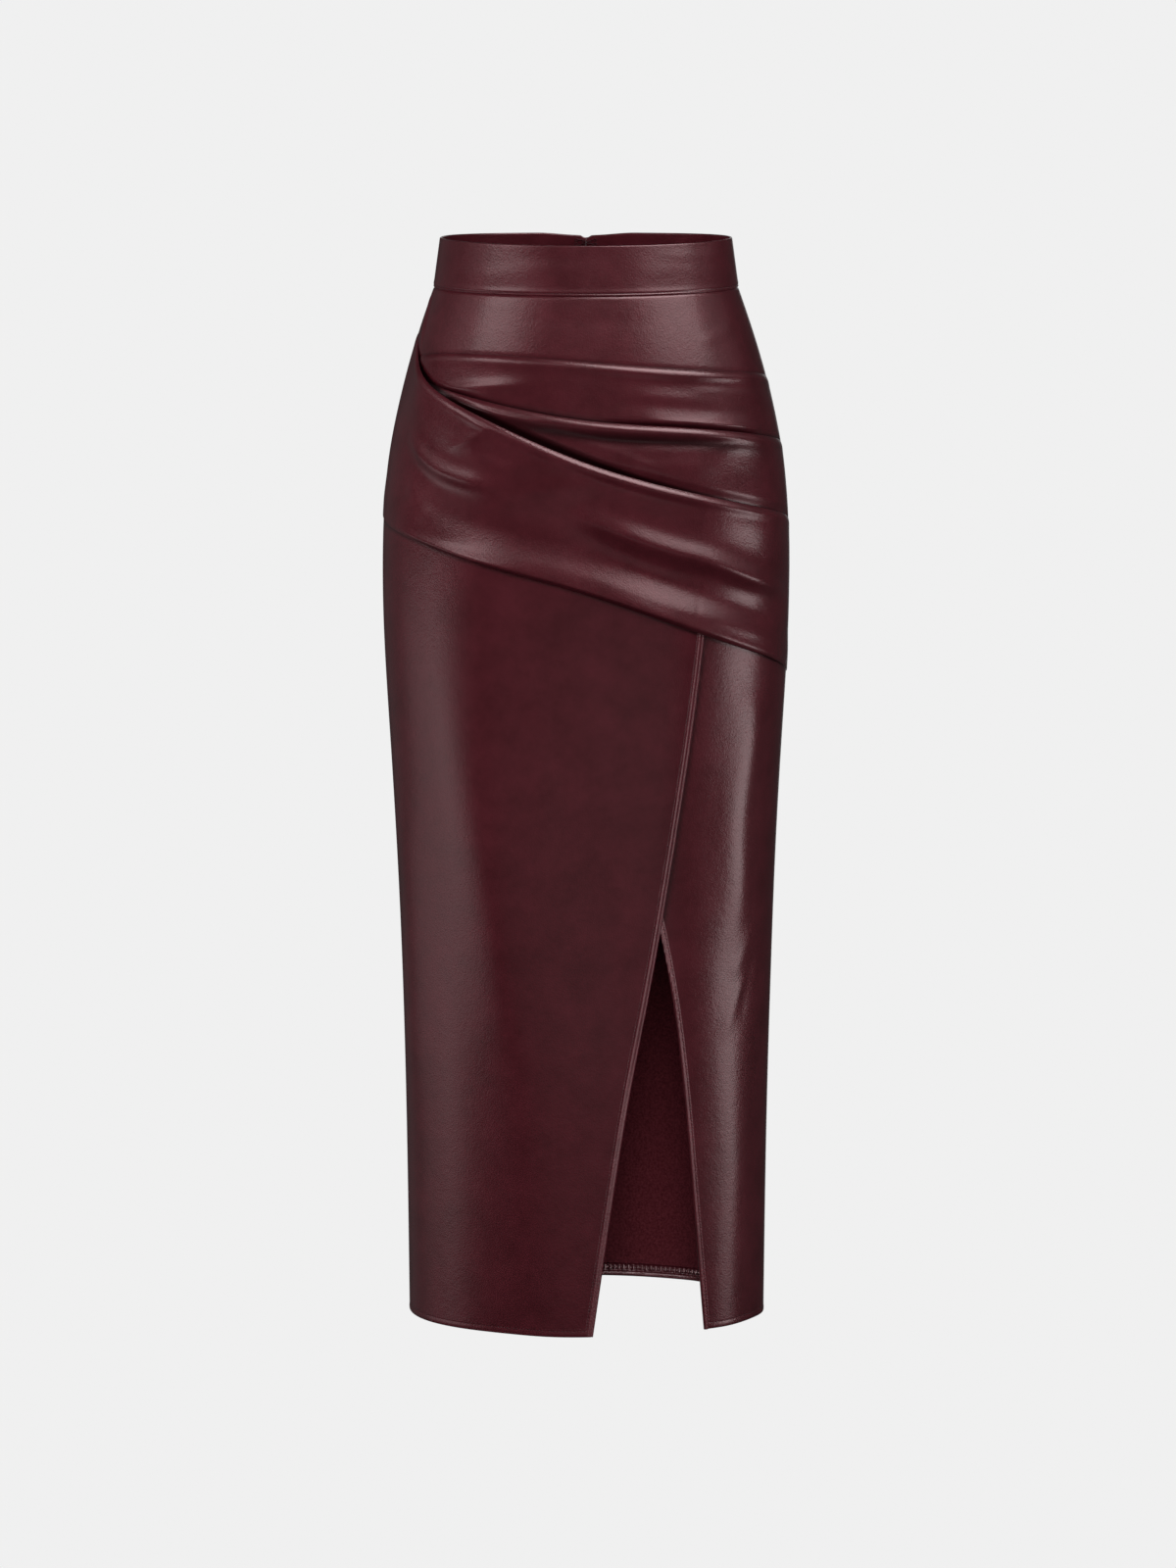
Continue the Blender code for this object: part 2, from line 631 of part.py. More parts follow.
def zip_slider(frame):
    """The slider's body inside, a neck through the gap, and a round bail outside for the pull."""
    wide, deep, tall = SLIDER_HALF
    behind_tape = -(PIVOT_HEIGHT + BAND_OUT - BAND_IN + SEAM_GAP + TAPE_CLEARANCE + TAPE_THICKNESS)
    front = behind_tape - SLIDER_CLEARANCE
    slider = block("zip_slider", (-wide, front - 2 * deep, -tall), (wide, front, tall), 0.7)
    neck_wide, neck_tall = NECK_HALF
    neck = block("neck", (-neck_wide, front - deep, -neck_tall), (neck_wide, -0.4, neck_tall))
    combine(slider, neck, "UNION")
    combine(slider, disc("bail", BAIL_OUTER, BAIL_HALF_WIDTH), "UNION")
    combine(slider, disc("bail_hole", BAIL_INNER, 3.0), "DIFFERENCE")
    slider.matrix_world = frame


def zip_pull(frame):
    """A drop-shaped tab on a crossbar, with a slot that clears the bail all the way round."""
    shoulder, waist, foot = 2.1, 2.0, 3.0
    slot, slot_end = BAIL_HALF_WIDTH + 0.45, BAIL_OUTER + 0.5
    turns = np.radians(np.linspace(0, 90, 5))
    round_end = [(foot * math.cos(a), foot - PULL_LENGTH - foot * math.sin(a)) for a in turns]
    half = [(shoulder, CROSSBAR_HALF), (shoulder, -3.4), (waist, -9.0), *round_end]
    outline = half + [(-x, z) for x, z in reversed(half[:-1])]
    hole = [(slot, -CROSSBAR_HALF), (slot, -slot_end), (-slot, -slot_end), (-slot, -CROSSBAR_HALF)]
    work = bmesh.new()
    edges = []
    for loop in (outline, hole):
        corners = [work.verts.new((x, -PULL_HALF_THICKNESS, z)) for x, z in loop]
        edges += [work.edges.new(pair) for pair in zip(corners, corners[1:] + corners[:1])]
    bmesh.ops.triangle_fill(work, edges=edges, use_beauty=True)
    skin = bmesh.ops.extrude_face_region(work, geom=list(work.faces))["geom"]
    moved = [item for item in skin if isinstance(item, bmesh.types.BMVert)]
    bmesh.ops.translate(work, verts=moved, vec=(0.0, 2 * PULL_HALF_THICKNESS, 0.0))
    bmesh.ops.recalc_face_normals(work, faces=work.faces)
    object_from("zip_pull", work).matrix_world = frame


def arc_points(centre, radius, start, end, steps):
    """Points of an arc in the plane of the band, at angles in degrees from +x towards +z."""
    angles = np.radians(np.linspace(start, end, steps))
    return [(centre[0] + radius * math.cos(a), centre[1] + radius * math.sin(a)) for a in angles]


def hook_and_eye():
    """A bent wire hook and its eye, sewn inside the waistband above the slider."""
    band_inside = form_point(np.array(180.0), np.array(HOOK_LEVEL))[1] + BAND_IN
    plane = float(band_inside) - SEAM_GAP - WIRE_CLEARANCE - WIRE_RADIUS

    def laid(points, depths):
        return [(x, plane - depth, HOOK_LEVEL + z) for (x, z), depth in zip(points, depths)]

    sewn_on = {"radius": 1.25, "steps": 9}
    eye = arc_points((-8.4, 1.9), start=330, end=20, **sewn_on)
    eye += arc_points((-3.2, 0.0), 1.9, 75, -75, 7)
    eye += arc_points((-8.4, -1.9), start=-20, end=-330, **sewn_on)
    wire("hook_eye", laid(eye, [0.0] * len(eye)), WIRE_RADIUS, nickel())
    head = arc_points((7.8, 1.9), start=-150, end=160, **sewn_on)
    tail = arc_points((7.8, -1.9), start=-160, end=150, **sewn_on)
    bend = arc_points((-2.7, 0.0), 0.9, 90, 270, 7)
    nose = [(4.0, 0.9), (1.4, 0.9), *bend, (1.4, -0.9), (4.0, -0.9)]
    over_eye = 2 * WIRE_RADIUS + 0.35
    depths = [0.3, *[over_eye] * (len(nose) - 2), 0.3]
    depths = [0.0] * len(head) + depths + [0.0] * len(tail)
    wire("hook", laid(head + nose + tail, depths), WIRE_RADIUS, nickel())


def build():
    for made in list(bpy.data.objects):
        bpy.data.objects.remove(made)
    waistband()
    front_yoke()
    upper_pleat()
    lower_pleat()
    hip_sash()
    wrap_panel()
    under_panel()
    back_panels()
    zip_tapes()
    frame = closing_frame()
    zip_slider(frame)
    zip_pull(frame)
    hook_and_eye()
    print("the pull tab's pivot, in metres:", [round(c, 6) for c in frame.translation])


build()
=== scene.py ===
import math

import bmesh
import bpy
import numpy as np
from mathutils import Matrix, Vector


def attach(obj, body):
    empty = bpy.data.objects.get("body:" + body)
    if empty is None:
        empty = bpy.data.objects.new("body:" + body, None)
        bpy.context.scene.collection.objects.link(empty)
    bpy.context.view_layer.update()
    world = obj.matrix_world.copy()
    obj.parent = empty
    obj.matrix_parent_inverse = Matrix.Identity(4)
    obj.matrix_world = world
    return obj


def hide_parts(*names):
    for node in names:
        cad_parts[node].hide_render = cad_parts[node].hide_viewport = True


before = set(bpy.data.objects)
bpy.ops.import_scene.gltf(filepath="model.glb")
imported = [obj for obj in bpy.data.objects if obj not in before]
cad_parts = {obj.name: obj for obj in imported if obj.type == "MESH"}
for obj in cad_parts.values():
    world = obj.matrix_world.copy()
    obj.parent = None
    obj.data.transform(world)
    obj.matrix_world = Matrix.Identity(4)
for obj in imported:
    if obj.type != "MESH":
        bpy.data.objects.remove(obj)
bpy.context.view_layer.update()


# ---------------------------------------------------------------- the waistband
# A doubled band of burgundy imitation leather, folded over at its upper edge and topstitched just above
# the seam that joins it to the skirt. It is in three parts: the front, and two halves behind that meet
# in a small notch over the zip.
#
# Lengths are in millimetres. A bearing is in degrees round the skirt: 0 is the centre front, 90 the
# wearer's left side seam and 180 the centre back. A level is a height over the waistband's middle.
MM = 0.001
SIDE = 90.0
BACK = 180.0
LEATHER = 1.2
RIM_LEVEL = 21.0
RIM_DIP = 3.7
RIM_BOW = 1.8
CLOSING_DIP = 2.2
BAND_HEIGHT = 42.0
BAND_OUT = 1.8
BAND_IN = -0.3
BAND_FOLD_RADIUS = 1.1
BAND_CORNER_DROP = 2.0
BAND_CORNER_DEGREES = 2.6
BAND_END_GAP = 0.02
BAND_END_RADIUS = 1.6
BAND_MM_PER_DEGREE = 2.2
BAND_STITCH_UP = 1.7
BAND_STITCH_DEPTH = 0.40
BAND_SEAM_DEPTH = 0.5
BAND_SWELL = 0.18

# The skirt fills out a body form: one row for each section, and smooth sides between the rows.
FORM = (
    # level, half_width, front_depth, back_depth
    (21.0, 123.0, 84.0, 92.0),
    (-21.0, 128.8, 90.0, 97.0),
    (-60.0, 142.2, 98.0, 104.0),
    (-110.0, 156.6, 106.0, 113.0),
    (-165.0, 168.0, 110.5, 122.0),
    (-230.0, 173.4, 112.0, 128.0),
    (-310.0, 173.4, 110.0, 126.0),
    (-400.0, 168.8, 107.0, 119.0),
    (-540.0, 161.4, 102.5, 114.0),
    (-720.0, 156.2, 98.5, 113.0),
    (-916.0, 154.0, 96.0, 114.0),
)
SQUARENESS = 0.02

# Soft creases and swellings. A crest is a line of bearings and levels. A crease runs out so far above
# (or to the right of) its crest and so far below (or to the left of) it; a low sharpness makes it crisp.
CREASE_FALL = 2.2
CREASE_END = 0.3
CREASE_STEPS = 5
BAND_FOLDS = (
    # height, above, below, sharpness, crest
    (0.22, 10.0, 12.0, 2.0, ((-62, -6), (-40, -9), (-18, -4), (4, -8))),
    (-0.20, 9.0, 9.0, 2.0, ((-30, 8), (-8, 4), (14, 8))),
    (0.20, 9.0, 10.0, 2.0, ((16, -8), (38, -4), (62, -9))),
    (0.25, 8.0, 8.0, 2.0, ((24, 7), (48, 6), (74, 8))),
    (0.4, 9.0, 9.0, 2.0, ((104, 2), (128, -4), (150, 2))),
    (0.4, 8.0, 10.0, 2.0, ((-156, 0), (-132, -6), (-104, -1))),
)


def curve_through(places, values):
    """A function of place whose natural cubic spline passes through the values."""
    order = np.argsort(places)
    x = np.array(places, float)[order]
    y = np.array(values, float)[order]
    step = np.diff(x)
    count = len(x)
    system = np.zeros((count, count))
    right = np.zeros(count)
    system[0, :2] = 2 * step[0], step[0]
    system[-1, -2:] = step[-1], 2 * step[-1]
    right[0] = 3 * (y[1] - y[0])
    right[-1] = 3 * (y[-1] - y[-2])
    for i in range(1, count - 1):
        system[i, i - 1 : i + 2] = step[i], 2 * (step[i - 1] + step[i]), step[i - 1]
        before = step[i] * (y[i] - y[i - 1]) / step[i - 1]
        after = step[i - 1] * (y[i + 1] - y[i]) / step[i]
        right[i] = 3 * (before + after)
    slope = np.linalg.solve(system, right)

    def curve(at):
        k = np.clip(np.searchsorted(x, at) - 1, 0, count - 2)
        t = (at - x[k]) / step[k]
        start = (1 + 2 * t) * (1 - t) ** 2 * y[k] + t * (1 - t) ** 2 * step[k] * slope[k]
        end = t * t * (3 - 2 * t) * y[k + 1] + t * t * (t - 1) * step[k] * slope[k + 1]
        return start + end

    return curve


SKIRT_SIZES = [curve_through([row[0] for row in FORM[1:]], [row[i] for row in FORM[1:]]) for i in (1, 2, 3)]


def fade(distance, full, none):
    """1 up to the distance full, 0 beyond the distance none, and a smooth fall between them."""
    t = np.clip((distance - full) / (none - full), 0.0, 1.0)
    return 1.0 - t * t * (3.0 - 2.0 * t)


def bell(distance, reach):
    """1 at no distance, falling to nearly 0 at the reach."""
    return np.exp(-3.0 * (distance / reach) ** 2)


def rounded(distance, radius):
    """The share of a wall's thickness that is left at a distance from its rounded edge."""
    near = np.clip(1.0 - distance / radius, 0.0, 1.0)
    return np.sqrt(1.0 - 0.98 * near**2)


def form_point(bearing, level):
    """A point of the form."""
    top, seam = FORM[0], FORM[1]
    up = (level - seam[0]) / (top[0] - seam[0])
    band = [seam[i] + (top[i] - seam[i]) * up for i in (1, 2, 3)]
    half_width, front, back = [np.where(up > 0, b, size(level)) for b, size in zip(band, SKIRT_SIZES)]
    angle = np.radians(bearing)
    swell = 1 + SQUARENESS * np.sin(2 * angle) ** 2
    depth = np.where(np.cos(angle) > 0, front, back)
    x = half_width * np.sin(angle) * swell
    y = -depth * np.cos(angle) * swell
    return np.stack([x, y, level], axis=-1)


def skin_point(bearing, level, offset):
    """The point of the form at a bearing and level, moved out along the form's normal."""
    turn, rise = 0.05, 0.5
    across = form_point(bearing + turn, level) - form_point(bearing - turn, level)
    up = form_point(bearing, level + rise) - form_point(bearing, level - rise)
    normal = np.cross(across, up)
    normal /= np.linalg.norm(normal, axis=-1, keepdims=True)
    return form_point(bearing, level) + normal * np.asarray(offset)[..., None]


def arc_per_degree(bearing, level):
    """Millimetres round the form for one degree of bearing."""
    around = form_point(bearing + 0.5, level) - form_point(bearing - 0.5, level)
    return np.linalg.norm(around, axis=-1)


def rim_level(bearing):
    """The waistband's upper edge, which dips at the front and softly again at the closing behind."""
    ahead = np.cos(np.radians(bearing))
    closing_dip = CLOSING_DIP * fade(BACK - np.abs(bearing), 2.0, 20.0)
    return RIM_LEVEL - RIM_DIP * ahead - RIM_BOW * ahead**2 - closing_dip


def short_of_centre(distance, level):
    """The bearing, without its sign, of a place a distance short of the centre back."""
    level = np.asarray(level, float)
    return BACK - distance / arc_per_degree(np.full(level.shape, BACK - 1.0), level)


def fold_relief(bearing, level, folds):
    """How far creases lift or sink the cloth: each one follows its crest and dies away at both ends."""
    relief = np.zeros(np.broadcast(bearing, level).shape)
    for height, above, below, sharpness, crest in folds:
        corners = np.array(crest, float)
        middle = corners.mean(axis=0)
        scale = float(arc_per_degree(middle[0], np.clip(middle[1], FORM[-1][0], 0.0)))
        count = np.arange(len(corners))
        along = np.linspace(0.0, len(corners) - 1.0, CREASE_STEPS * (len(corners) - 1) + 1)
        points = np.stack([curve_through(count, corners[:, i])(along) for i in (0, 1)], axis=1)
        points[:, 0] *= scale
        run = np.diff(points, axis=0)
        lengths = np.linalg.norm(run, axis=1)
        starts = np.append(0.0, np.cumsum(lengths)[:-1])
        best = np.full(relief.shape, np.inf)
        share, side = np.zeros(relief.shape), np.zeros(relief.shape)
        for begin, step, length, start in zip(points, run, lengths, starts):
            dx, dz = bearing * scale - begin[0], level - begin[1]
            t = np.clip((dx * step[0] + dz * step[1]) / length**2, 0.0, 1.0)
            away = np.hypot(dx - t * step[0], dz - t * step[1])
            nearer = away < best
            best = np.where(nearer, away, best)
            share = np.where(nearer, (start + t * length) / lengths.sum(), share)
            side = np.where(nearer, step[0] * dz - step[1] * dx, side)
        reach = np.where(side > 0, above, below)
        ends = 1.0 - fade(np.minimum(share, 1.0 - share), 0.0, CREASE_END)
        relief = relief + height * ends * np.exp(-CREASE_FALL * (best / reach) ** sharpness)
    return relief


def add_piece(name, points, faces, finishes, finish_of_face, painted_shade=0.0):
    """A smooth object on the skirt, from points in millimetres and the corners of its faces.

    The last argument is how much shade is painted into the dye at each point, from 0 to 1: more where the
    point lies in a fold.
    """
    mesh = bpy.data.meshes.new(name)
    mesh.from_pydata((points * MM).tolist(), [], faces)
    for finish in finishes:
        mesh.materials.append(finish)
    mesh.polygons.foreach_set("material_index", finish_of_face)
    mesh.shade_smooth()
    # Painted shade: a point attribute that darkens the leather's dye in folds and hollows.
    painted_shade_layer = mesh.attributes.new("painted_shade", "FLOAT", "POINT")
    painted_shade_layer.data.foreach_set("value", np.broadcast_to(np.asarray(painted_shade, float), len(points)).copy())
    piece = bpy.data.objects.new(name, mesh)
    bpy.context.scene.collection.objects.link(piece)
    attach(piece, "skirt")
    return piece


def grid_faces(rows, columns):
    corner = np.arange(rows * columns).reshape(rows, columns)
    corners = [corner[:-1, :-1], corner[1:, :-1], corner[1:, 1:], corner[:-1, 1:]]
    return np.stack(corners, axis=-1).reshape(-1, 4)


def shell(name, bearing, level, inner, outer, finishes, painted_shade=0.0):
    """A closed thin shell of cloth: rows run from top to bottom and columns towards the wearer's left."""
    rows, columns = level.shape
    size = rows * columns
    skins = [skin_point(bearing, level, offset).reshape(-1, 3) for offset in (outer, inner)]
    corner = np.arange(size).reshape(rows, columns)
    ring = np.concatenate([corner[0], corner[1:, -1], corner[-1, -2::-1], corner[-2:0:-1, 0]])
    after = np.roll(ring, -1)
    rim = np.stack([ring, after, after + size, ring + size], axis=-1)
    front = grid_faces(rows, columns)
    back = front[:, ::-1] + size
    finish_of_face = np.repeat([0, 1, 0], [len(front), len(back), len(rim)])
    faces = np.concatenate([front, back, rim]).tolist()
    # The painted shade is the same on both skins.
    shade = np.tile(np.broadcast_to(painted_shade, level.shape).reshape(-1), 2)
    return add_piece(name, np.concatenate(skins), faces, finishes, finish_of_face, shade)


def columns_of(bearings, level):
    """The same bearings in every row of a grid of levels."""
    return np.tile(bearings, (len(level), 1))


SEAM_COLUMNS = (-1.5, -0.9, -0.55, -0.3, -0.12, 0.0, 0.12, 0.3, 0.55, 0.9, 1.5)


def spaced_bearings(first, last, millimetres, level):
    """Bearings about so many millimetres apart at a level, and closer together at the side seams."""
    length = (last - first) * float(arc_per_degree((first + last) / 2, level))
    even = np.linspace(first, last, 2 + int(length / millimetres))
    clear = even[np.abs(np.abs(even) - SIDE) > 1.9]
    close = np.array([side * (SIDE + d) for side in (-1, 1) for d in SEAM_COLUMNS])
    close = close[(close >= first) & (close <= last)]
    return np.unique(np.concatenate([clear, close, [first, last]]))


def add_node(tree, kind, **settings):
    """A shader node, with its properties and its unlinked inputs set by name."""
    made = tree.nodes.new(kind)
    for key, value in settings.items():
        if key in made.inputs:
            made.inputs[key].default_value = value
        else:
            setattr(made, key, value)
    return made


def new_finish(name, **settings):
    """A material, its node tree and its shader, with the shader's inputs set by name."""
    finish = bpy.data.materials.new(name)
    finish.use_nodes = True
    shader = finish.node_tree.nodes["Principled BSDF"]
    for key, value in settings.items():
        shader.inputs[key].default_value = value
    return finish, finish.node_tree, shader


def colour_mix(tree, first, second):
    """A mix of two colours: its factor, the input of its first colour, and its result."""
    mix = add_node(tree, "ShaderNodeMix", data_type="RGBA")
    colours = [socket for socket in mix.inputs if socket.type == "RGBA"]
    colours[0].default_value = (*first, 1.0)
    colours[1].default_value = (*second, 1.0)
    result = [socket for socket in mix.outputs if socket.type == "RGBA"][0]
    return mix.inputs["Factor"], colours[0], result


def add_relief(tree, shader, pattern, strength, distance):
    """Fine relief on a finish, from a pattern that lies still on the object."""
    place = add_node(tree, "ShaderNodeTexCoord").outputs["Object"]
    bump = add_node(tree, "ShaderNodeBump", Strength=strength, Distance=distance)
    tree.links.new(place, pattern.inputs["Vector"])
    tree.links.new(pattern.outputs["Fac"], bump.inputs["Height"])
    tree.links.new(bump.outputs["Normal"], shader.inputs["Normal"])


# Imitation leather: a fine pebbled grain, a slightly uneven dye and an uneven satin top coat, with shade
# painted into the dye in folds and hollows.
BURGUNDY = (0.051, 0.0062, 0.0098)
BURGUNDY_WORN = (0.078, 0.0106, 0.0165)
# The near black that is painted into the dye as shade in folds and hollows.
BURGUNDY_PAINTED_SHADE = (0.0050, 0.0005, 0.0008)
LEATHER_SHEEN = (1.0, 0.52, 0.55)
LEATHER_SHINE = 0.36
LEATHER_SMOOTH = 0.30
LEATHER_DULL = 0.37
LACQUER = 0.34
LACQUER_ROUGHNESS = 0.14
GRAINS_PER_METRE = 850.0
PORE_SHARE = 0.5

leather, leather_tree, leather_shader = new_finish(
    "burgundy_leather",
    **{
        "Specular Tint": (*LEATHER_SHEEN, 1.0),
        "Specular IOR Level": LEATHER_SHINE,
        "Coat Weight": LACQUER,
        "Coat Roughness": LACQUER_ROUGHNESS,
    },
)
leather_place = add_node(leather_tree, "ShaderNodeTexCoord").outputs["Object"]
dye_clouds = add_node(leather_tree, "ShaderNodeTexNoise", Scale=25.0, Detail=8.0, Roughness=0.75)
dye_spread = add_node(leather_tree, "ShaderNodeMapRange", **{"From Min": 0.36, "From Max": 0.66})
dye_factor, _, dyed = colour_mix(leather_tree, BURGUNDY, BURGUNDY_WORN)
# Each piece's painted-shade attribute mixes the dye towards that near black.
painted_shade_in = add_node(leather_tree, "ShaderNodeAttribute", attribute_name="painted_shade")
painted_shade_factor, unshaded_dye, painted_shade_dye = colour_mix(leather_tree, BURGUNDY, BURGUNDY_PAINTED_SHADE)
top_coat = add_node(leather_tree, "ShaderNodeMapRange", **{"To Min": LEATHER_SMOOTH, "To Max": LEATHER_DULL})
pebbles = add_node(leather_tree, "ShaderNodeTexVoronoi", feature="SMOOTH_F1", Scale=GRAINS_PER_METRE)
pores = add_node(leather_tree, "ShaderNodeTexNoise", Scale=2.2 * GRAINS_PER_METRE, Detail=2.0)
grain = add_node(leather_tree, "ShaderNodeMath", operation="MULTIPLY_ADD")
grain.inputs[1].default_value = PORE_SHARE
grain_bump = add_node(leather_tree, "ShaderNodeBump", Strength=0.85, Distance=0.00010)
unevenness = add_node(leather_tree, "ShaderNodeTexNoise", Scale=150.0, Detail=4.0, Roughness=0.65)
uneven_bump = add_node(leather_tree, "ShaderNodeBump", Strength=0.45, Distance=0.00035)
for start, end in (
    (leather_place, dye_clouds.inputs["Vector"]),
    (dye_clouds.outputs["Fac"], dye_spread.inputs["Value"]),
    (dye_spread.outputs["Result"], dye_factor),
    (dyed, unshaded_dye),
    (painted_shade_in.outputs["Fac"], painted_shade_factor),
    (painted_shade_dye, leather_shader.inputs["Base Color"]),
    (dye_clouds.outputs["Fac"], top_coat.inputs["Value"]),
    (top_coat.outputs["Result"], leather_shader.inputs["Roughness"]),
    (leather_place, pebbles.inputs["Vector"]),
    (leather_place, pores.inputs["Vector"]),
    (pores.outputs["Fac"], grain.inputs[0]),
    (pebbles.outputs["Distance"], grain.inputs[2]),
    (grain.outputs["Value"], grain_bump.inputs["Height"]),
    (leather_place, unevenness.inputs["Vector"]),
    (unevenness.outputs["Fac"], uneven_bump.inputs["Height"]),
    (uneven_bump.outputs["Normal"], grain_bump.inputs["Normal"]),
    (grain_bump.outputs["Normal"], leather_shader.inputs["Normal"]),
    (grain_bump.outputs["Normal"], leather_shader.inputs["Coat Normal"]),
):
    leather_tree.links.new(start, end)

# Sewing thread, twisted from fine strands and dyed to match.
THREAD_RED = (0.045, 0.0065, 0.0100)
thread, thread_tree, thread_shader = new_finish(
    "burgundy_thread", **{"Base Color": (*THREAD_RED, 1.0), "Roughness": 0.5}
)
strands = add_node(thread_tree, "ShaderNodeTexNoise", Scale=5200.0, Detail=1.0)
add_relief(thread_tree, thread_shader, strands, strength=0.4, distance=0.0001)

# One rounded stitch, shaped once and set down again and again.
bpy.ops.object.select_all(action="DESELECT")
bpy.ops.mesh.primitive_uv_sphere_add(segments=8, ring_count=6, radius=1.0)
one_stitch = bpy.context.object
STITCH_POINTS = np.array([corner.co for corner in one_stitch.data.vertices])
STITCH_FACES = [list(face.vertices) for face in one_stitch.data.polygons]
bpy.data.objects.remove(one_stitch)

STITCH_PITCH = 2.9
STITCH_RADIUS = 0.28


def set_down(name, middle, ahead, out, half_sizes, finish):
    """Joined copies of the rounded stitch: half_sizes run ahead, across and out of the surface."""
    across = np.cross(out, ahead)
    axes = [way / np.linalg.norm(way, axis=1, keepdims=True) for way in (ahead, across, out)]
    points = middle[:, None, :] + sum(
        STITCH_POINTS[None, :, i : i + 1] * axes[i][:, None, :] * half_sizes[i] for i in range(3)
    )
    size = len(STITCH_POINTS)
    faces = [[corner + k * size for corner in face] for k in range(len(middle)) for face in STITCH_FACES]
    return add_piece(name, points.reshape(-1, 3), faces, [finish], np.zeros(len(faces), int))


def stitches(name, bearing, level, offset, pitch=STITCH_PITCH, length=2.3):
    """A row of stitches along a line on the form."""
    line = skin_point(bearing, level, offset)
    raised = skin_point(bearing, level, offset + 1.0) - line
    along = np.append(0.0, np.cumsum(np.linalg.norm(np.diff(line, axis=0), axis=1)))
    places = np.arange(pitch / 2, along[-1] - pitch / 2, pitch)

    def at(places, values):
        return np.stack([np.interp(places, along, values[:, i]) for i in range(3)], axis=1)

    ahead = at(places + 0.4, line) - at(places - 0.4, line)
    half_sizes = (length / 2, STITCH_RADIUS, STITCH_RADIUS)
    return set_down(name, at(places, line), ahead, at(places, raised), half_sizes, thread)


BAND_ROWS = np.array(
    [0.0, 0.05, 0.2, 0.45, 0.8, 1.3, 2.2, 3.5, *np.arange(5.0, 37.0, 1.8), 37.6]
    + [38.4, 39.0, 39.4, 39.8, 40.1, 40.3, 40.5, 40.8, 41.1, 41.4, 41.6, 41.8, 41.93, 42.0]
)[:, None]
band_end = float(short_of_centre(BAND_END_GAP, 0.0))


def band_part(name, node, bearings):
    """One part of the waistband, with its topstitches outside and inside."""
    at_closing = fade(BACK - np.abs(bearings), 0.5, BAND_CORNER_DEGREES)
    corner = BAND_CORNER_DROP * at_closing * fade(BAND_ROWS, 0.0, BAND_HEIGHT / 3)
    level = rim_level(bearings) - BAND_ROWS - corner
    bearing = columns_of(bearings, level)
    thickness = (BAND_OUT - BAND_IN) * rounded(BAND_ROWS, BAND_FOLD_RADIUS)
    thickness = thickness * rounded((band_end - np.abs(bearing)) * BAND_MM_PER_DEGREE, BAND_END_RADIUS)
    middle = (BAND_OUT + BAND_IN) / 2
    up = BAND_HEIGHT - BAND_ROWS
    shape = fold_relief(bearing, level, BAND_FOLDS) * fade(np.abs(BAND_ROWS - 20.0), 12.0, 20.0)
    sewn = BAND_SWELL * bell(up - 3.6, 2.0) - BAND_STITCH_DEPTH * bell(up - BAND_STITCH_UP, 0.9)
    sewn = sewn - BAND_SEAM_DEPTH * bell(up, 0.7)
    outer = middle + thickness / 2 + shape + sewn
    inner = middle - thickness / 2 + 0.5 * shape + 0.25 * bell(up - BAND_STITCH_UP, 0.9)
    part = shell(name, bearing, level, inner, outer, [leather, leather])
    seam = rim_level(bearings) - BAND_HEIGHT + BAND_STITCH_UP
    outside = stitches(name + "_stitches", bearings, seam, np.full(seam.shape, BAND_OUT - 0.42))
    inside = stitches(name + "_stitches_inside", bearings, seam, np.full(seam.shape, BAND_IN + 0.2))
    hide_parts(node)


near_end = band_end - np.array([2.2, 1.5, 0.9, 0.45, 0.2, 0.06, 0.0])
back_bearings = np.append(spaced_bearings(SIDE, 176.4, 2.2, 0.0), near_end)
band_part("front_band", "waistband_front", spaced_bearings(-SIDE, SIDE, 1.8, 0.0))
band_part("left_back_band", "waistband_back_left", back_bearings)
band_part("right_back_band", "waistband_back_right", -back_bearings[::-1])


# ---------------------------------------------------------------- the yoke
# One smooth piece of leather under the waistband, sewn into it and into both side seams. Its lower edge
# is raw, and the pleats hide it.
LINE_BEARINGS = (-90.0, -75.0, -60.0, -30.0, 0.0, 30.0, 60.0, 90.0)
FRONT_LINES = {
    # name: right_side, -75, -60, -30, centre, 30, 60, left_side
    "upper_fold": (-86.0, -80.4, -76.6, -75.8, -81.0, -87.3, -91.7, -97.5),
    "lower_fold": (-88.0, -92.0, -99.0, -115.0, -129.3, -136.0, -144.6, -153.0),
    "sash_top": (-59.0, -72.3, -94.0, -129.5, -164.5, -190.0, -207.0, -219.0),
    "sash_bottom": (-216.5, -222.6, -229.5, -251.0, -275.0, -307.0, -333.0, -352.0),
    # how far the sash stands off the form at its two long edges
    "sash_top_stack": (0.9, 3.2, 5.8, 5.2, 3.4, 2.0, 1.6, 1.5),
    "sash_bottom_stack": (1.5, 1.7, 2.0, 2.3, 3.6, 4.9, 3.0, 1.6),
    # how full each folded edge is
    "upper_roll": (0.1, 0.25, 0.35, 0.4, 0.7, 1.0, 0.9, 0.15),
    "lower_roll": (0.3, 0.4, 0.7, 0.7, 1.1, 1.2, 0.8, 0.10),
    "sash_roll": (0.1, 0.3, 0.4, 0.6, 1.2, 1.3, 0.8, 0.10),
}
FRONT_LINE = {name: curve_through(LINE_BEARINGS, levels) for name, levels in FRONT_LINES.items()}
UNDERLAP = 12.0
LAID_GAP = 0.3
SEAM_REACH = 9.0
SEAM_WIDTH = 1.8
SIDE_MM_PER_DEGREE = 2.4
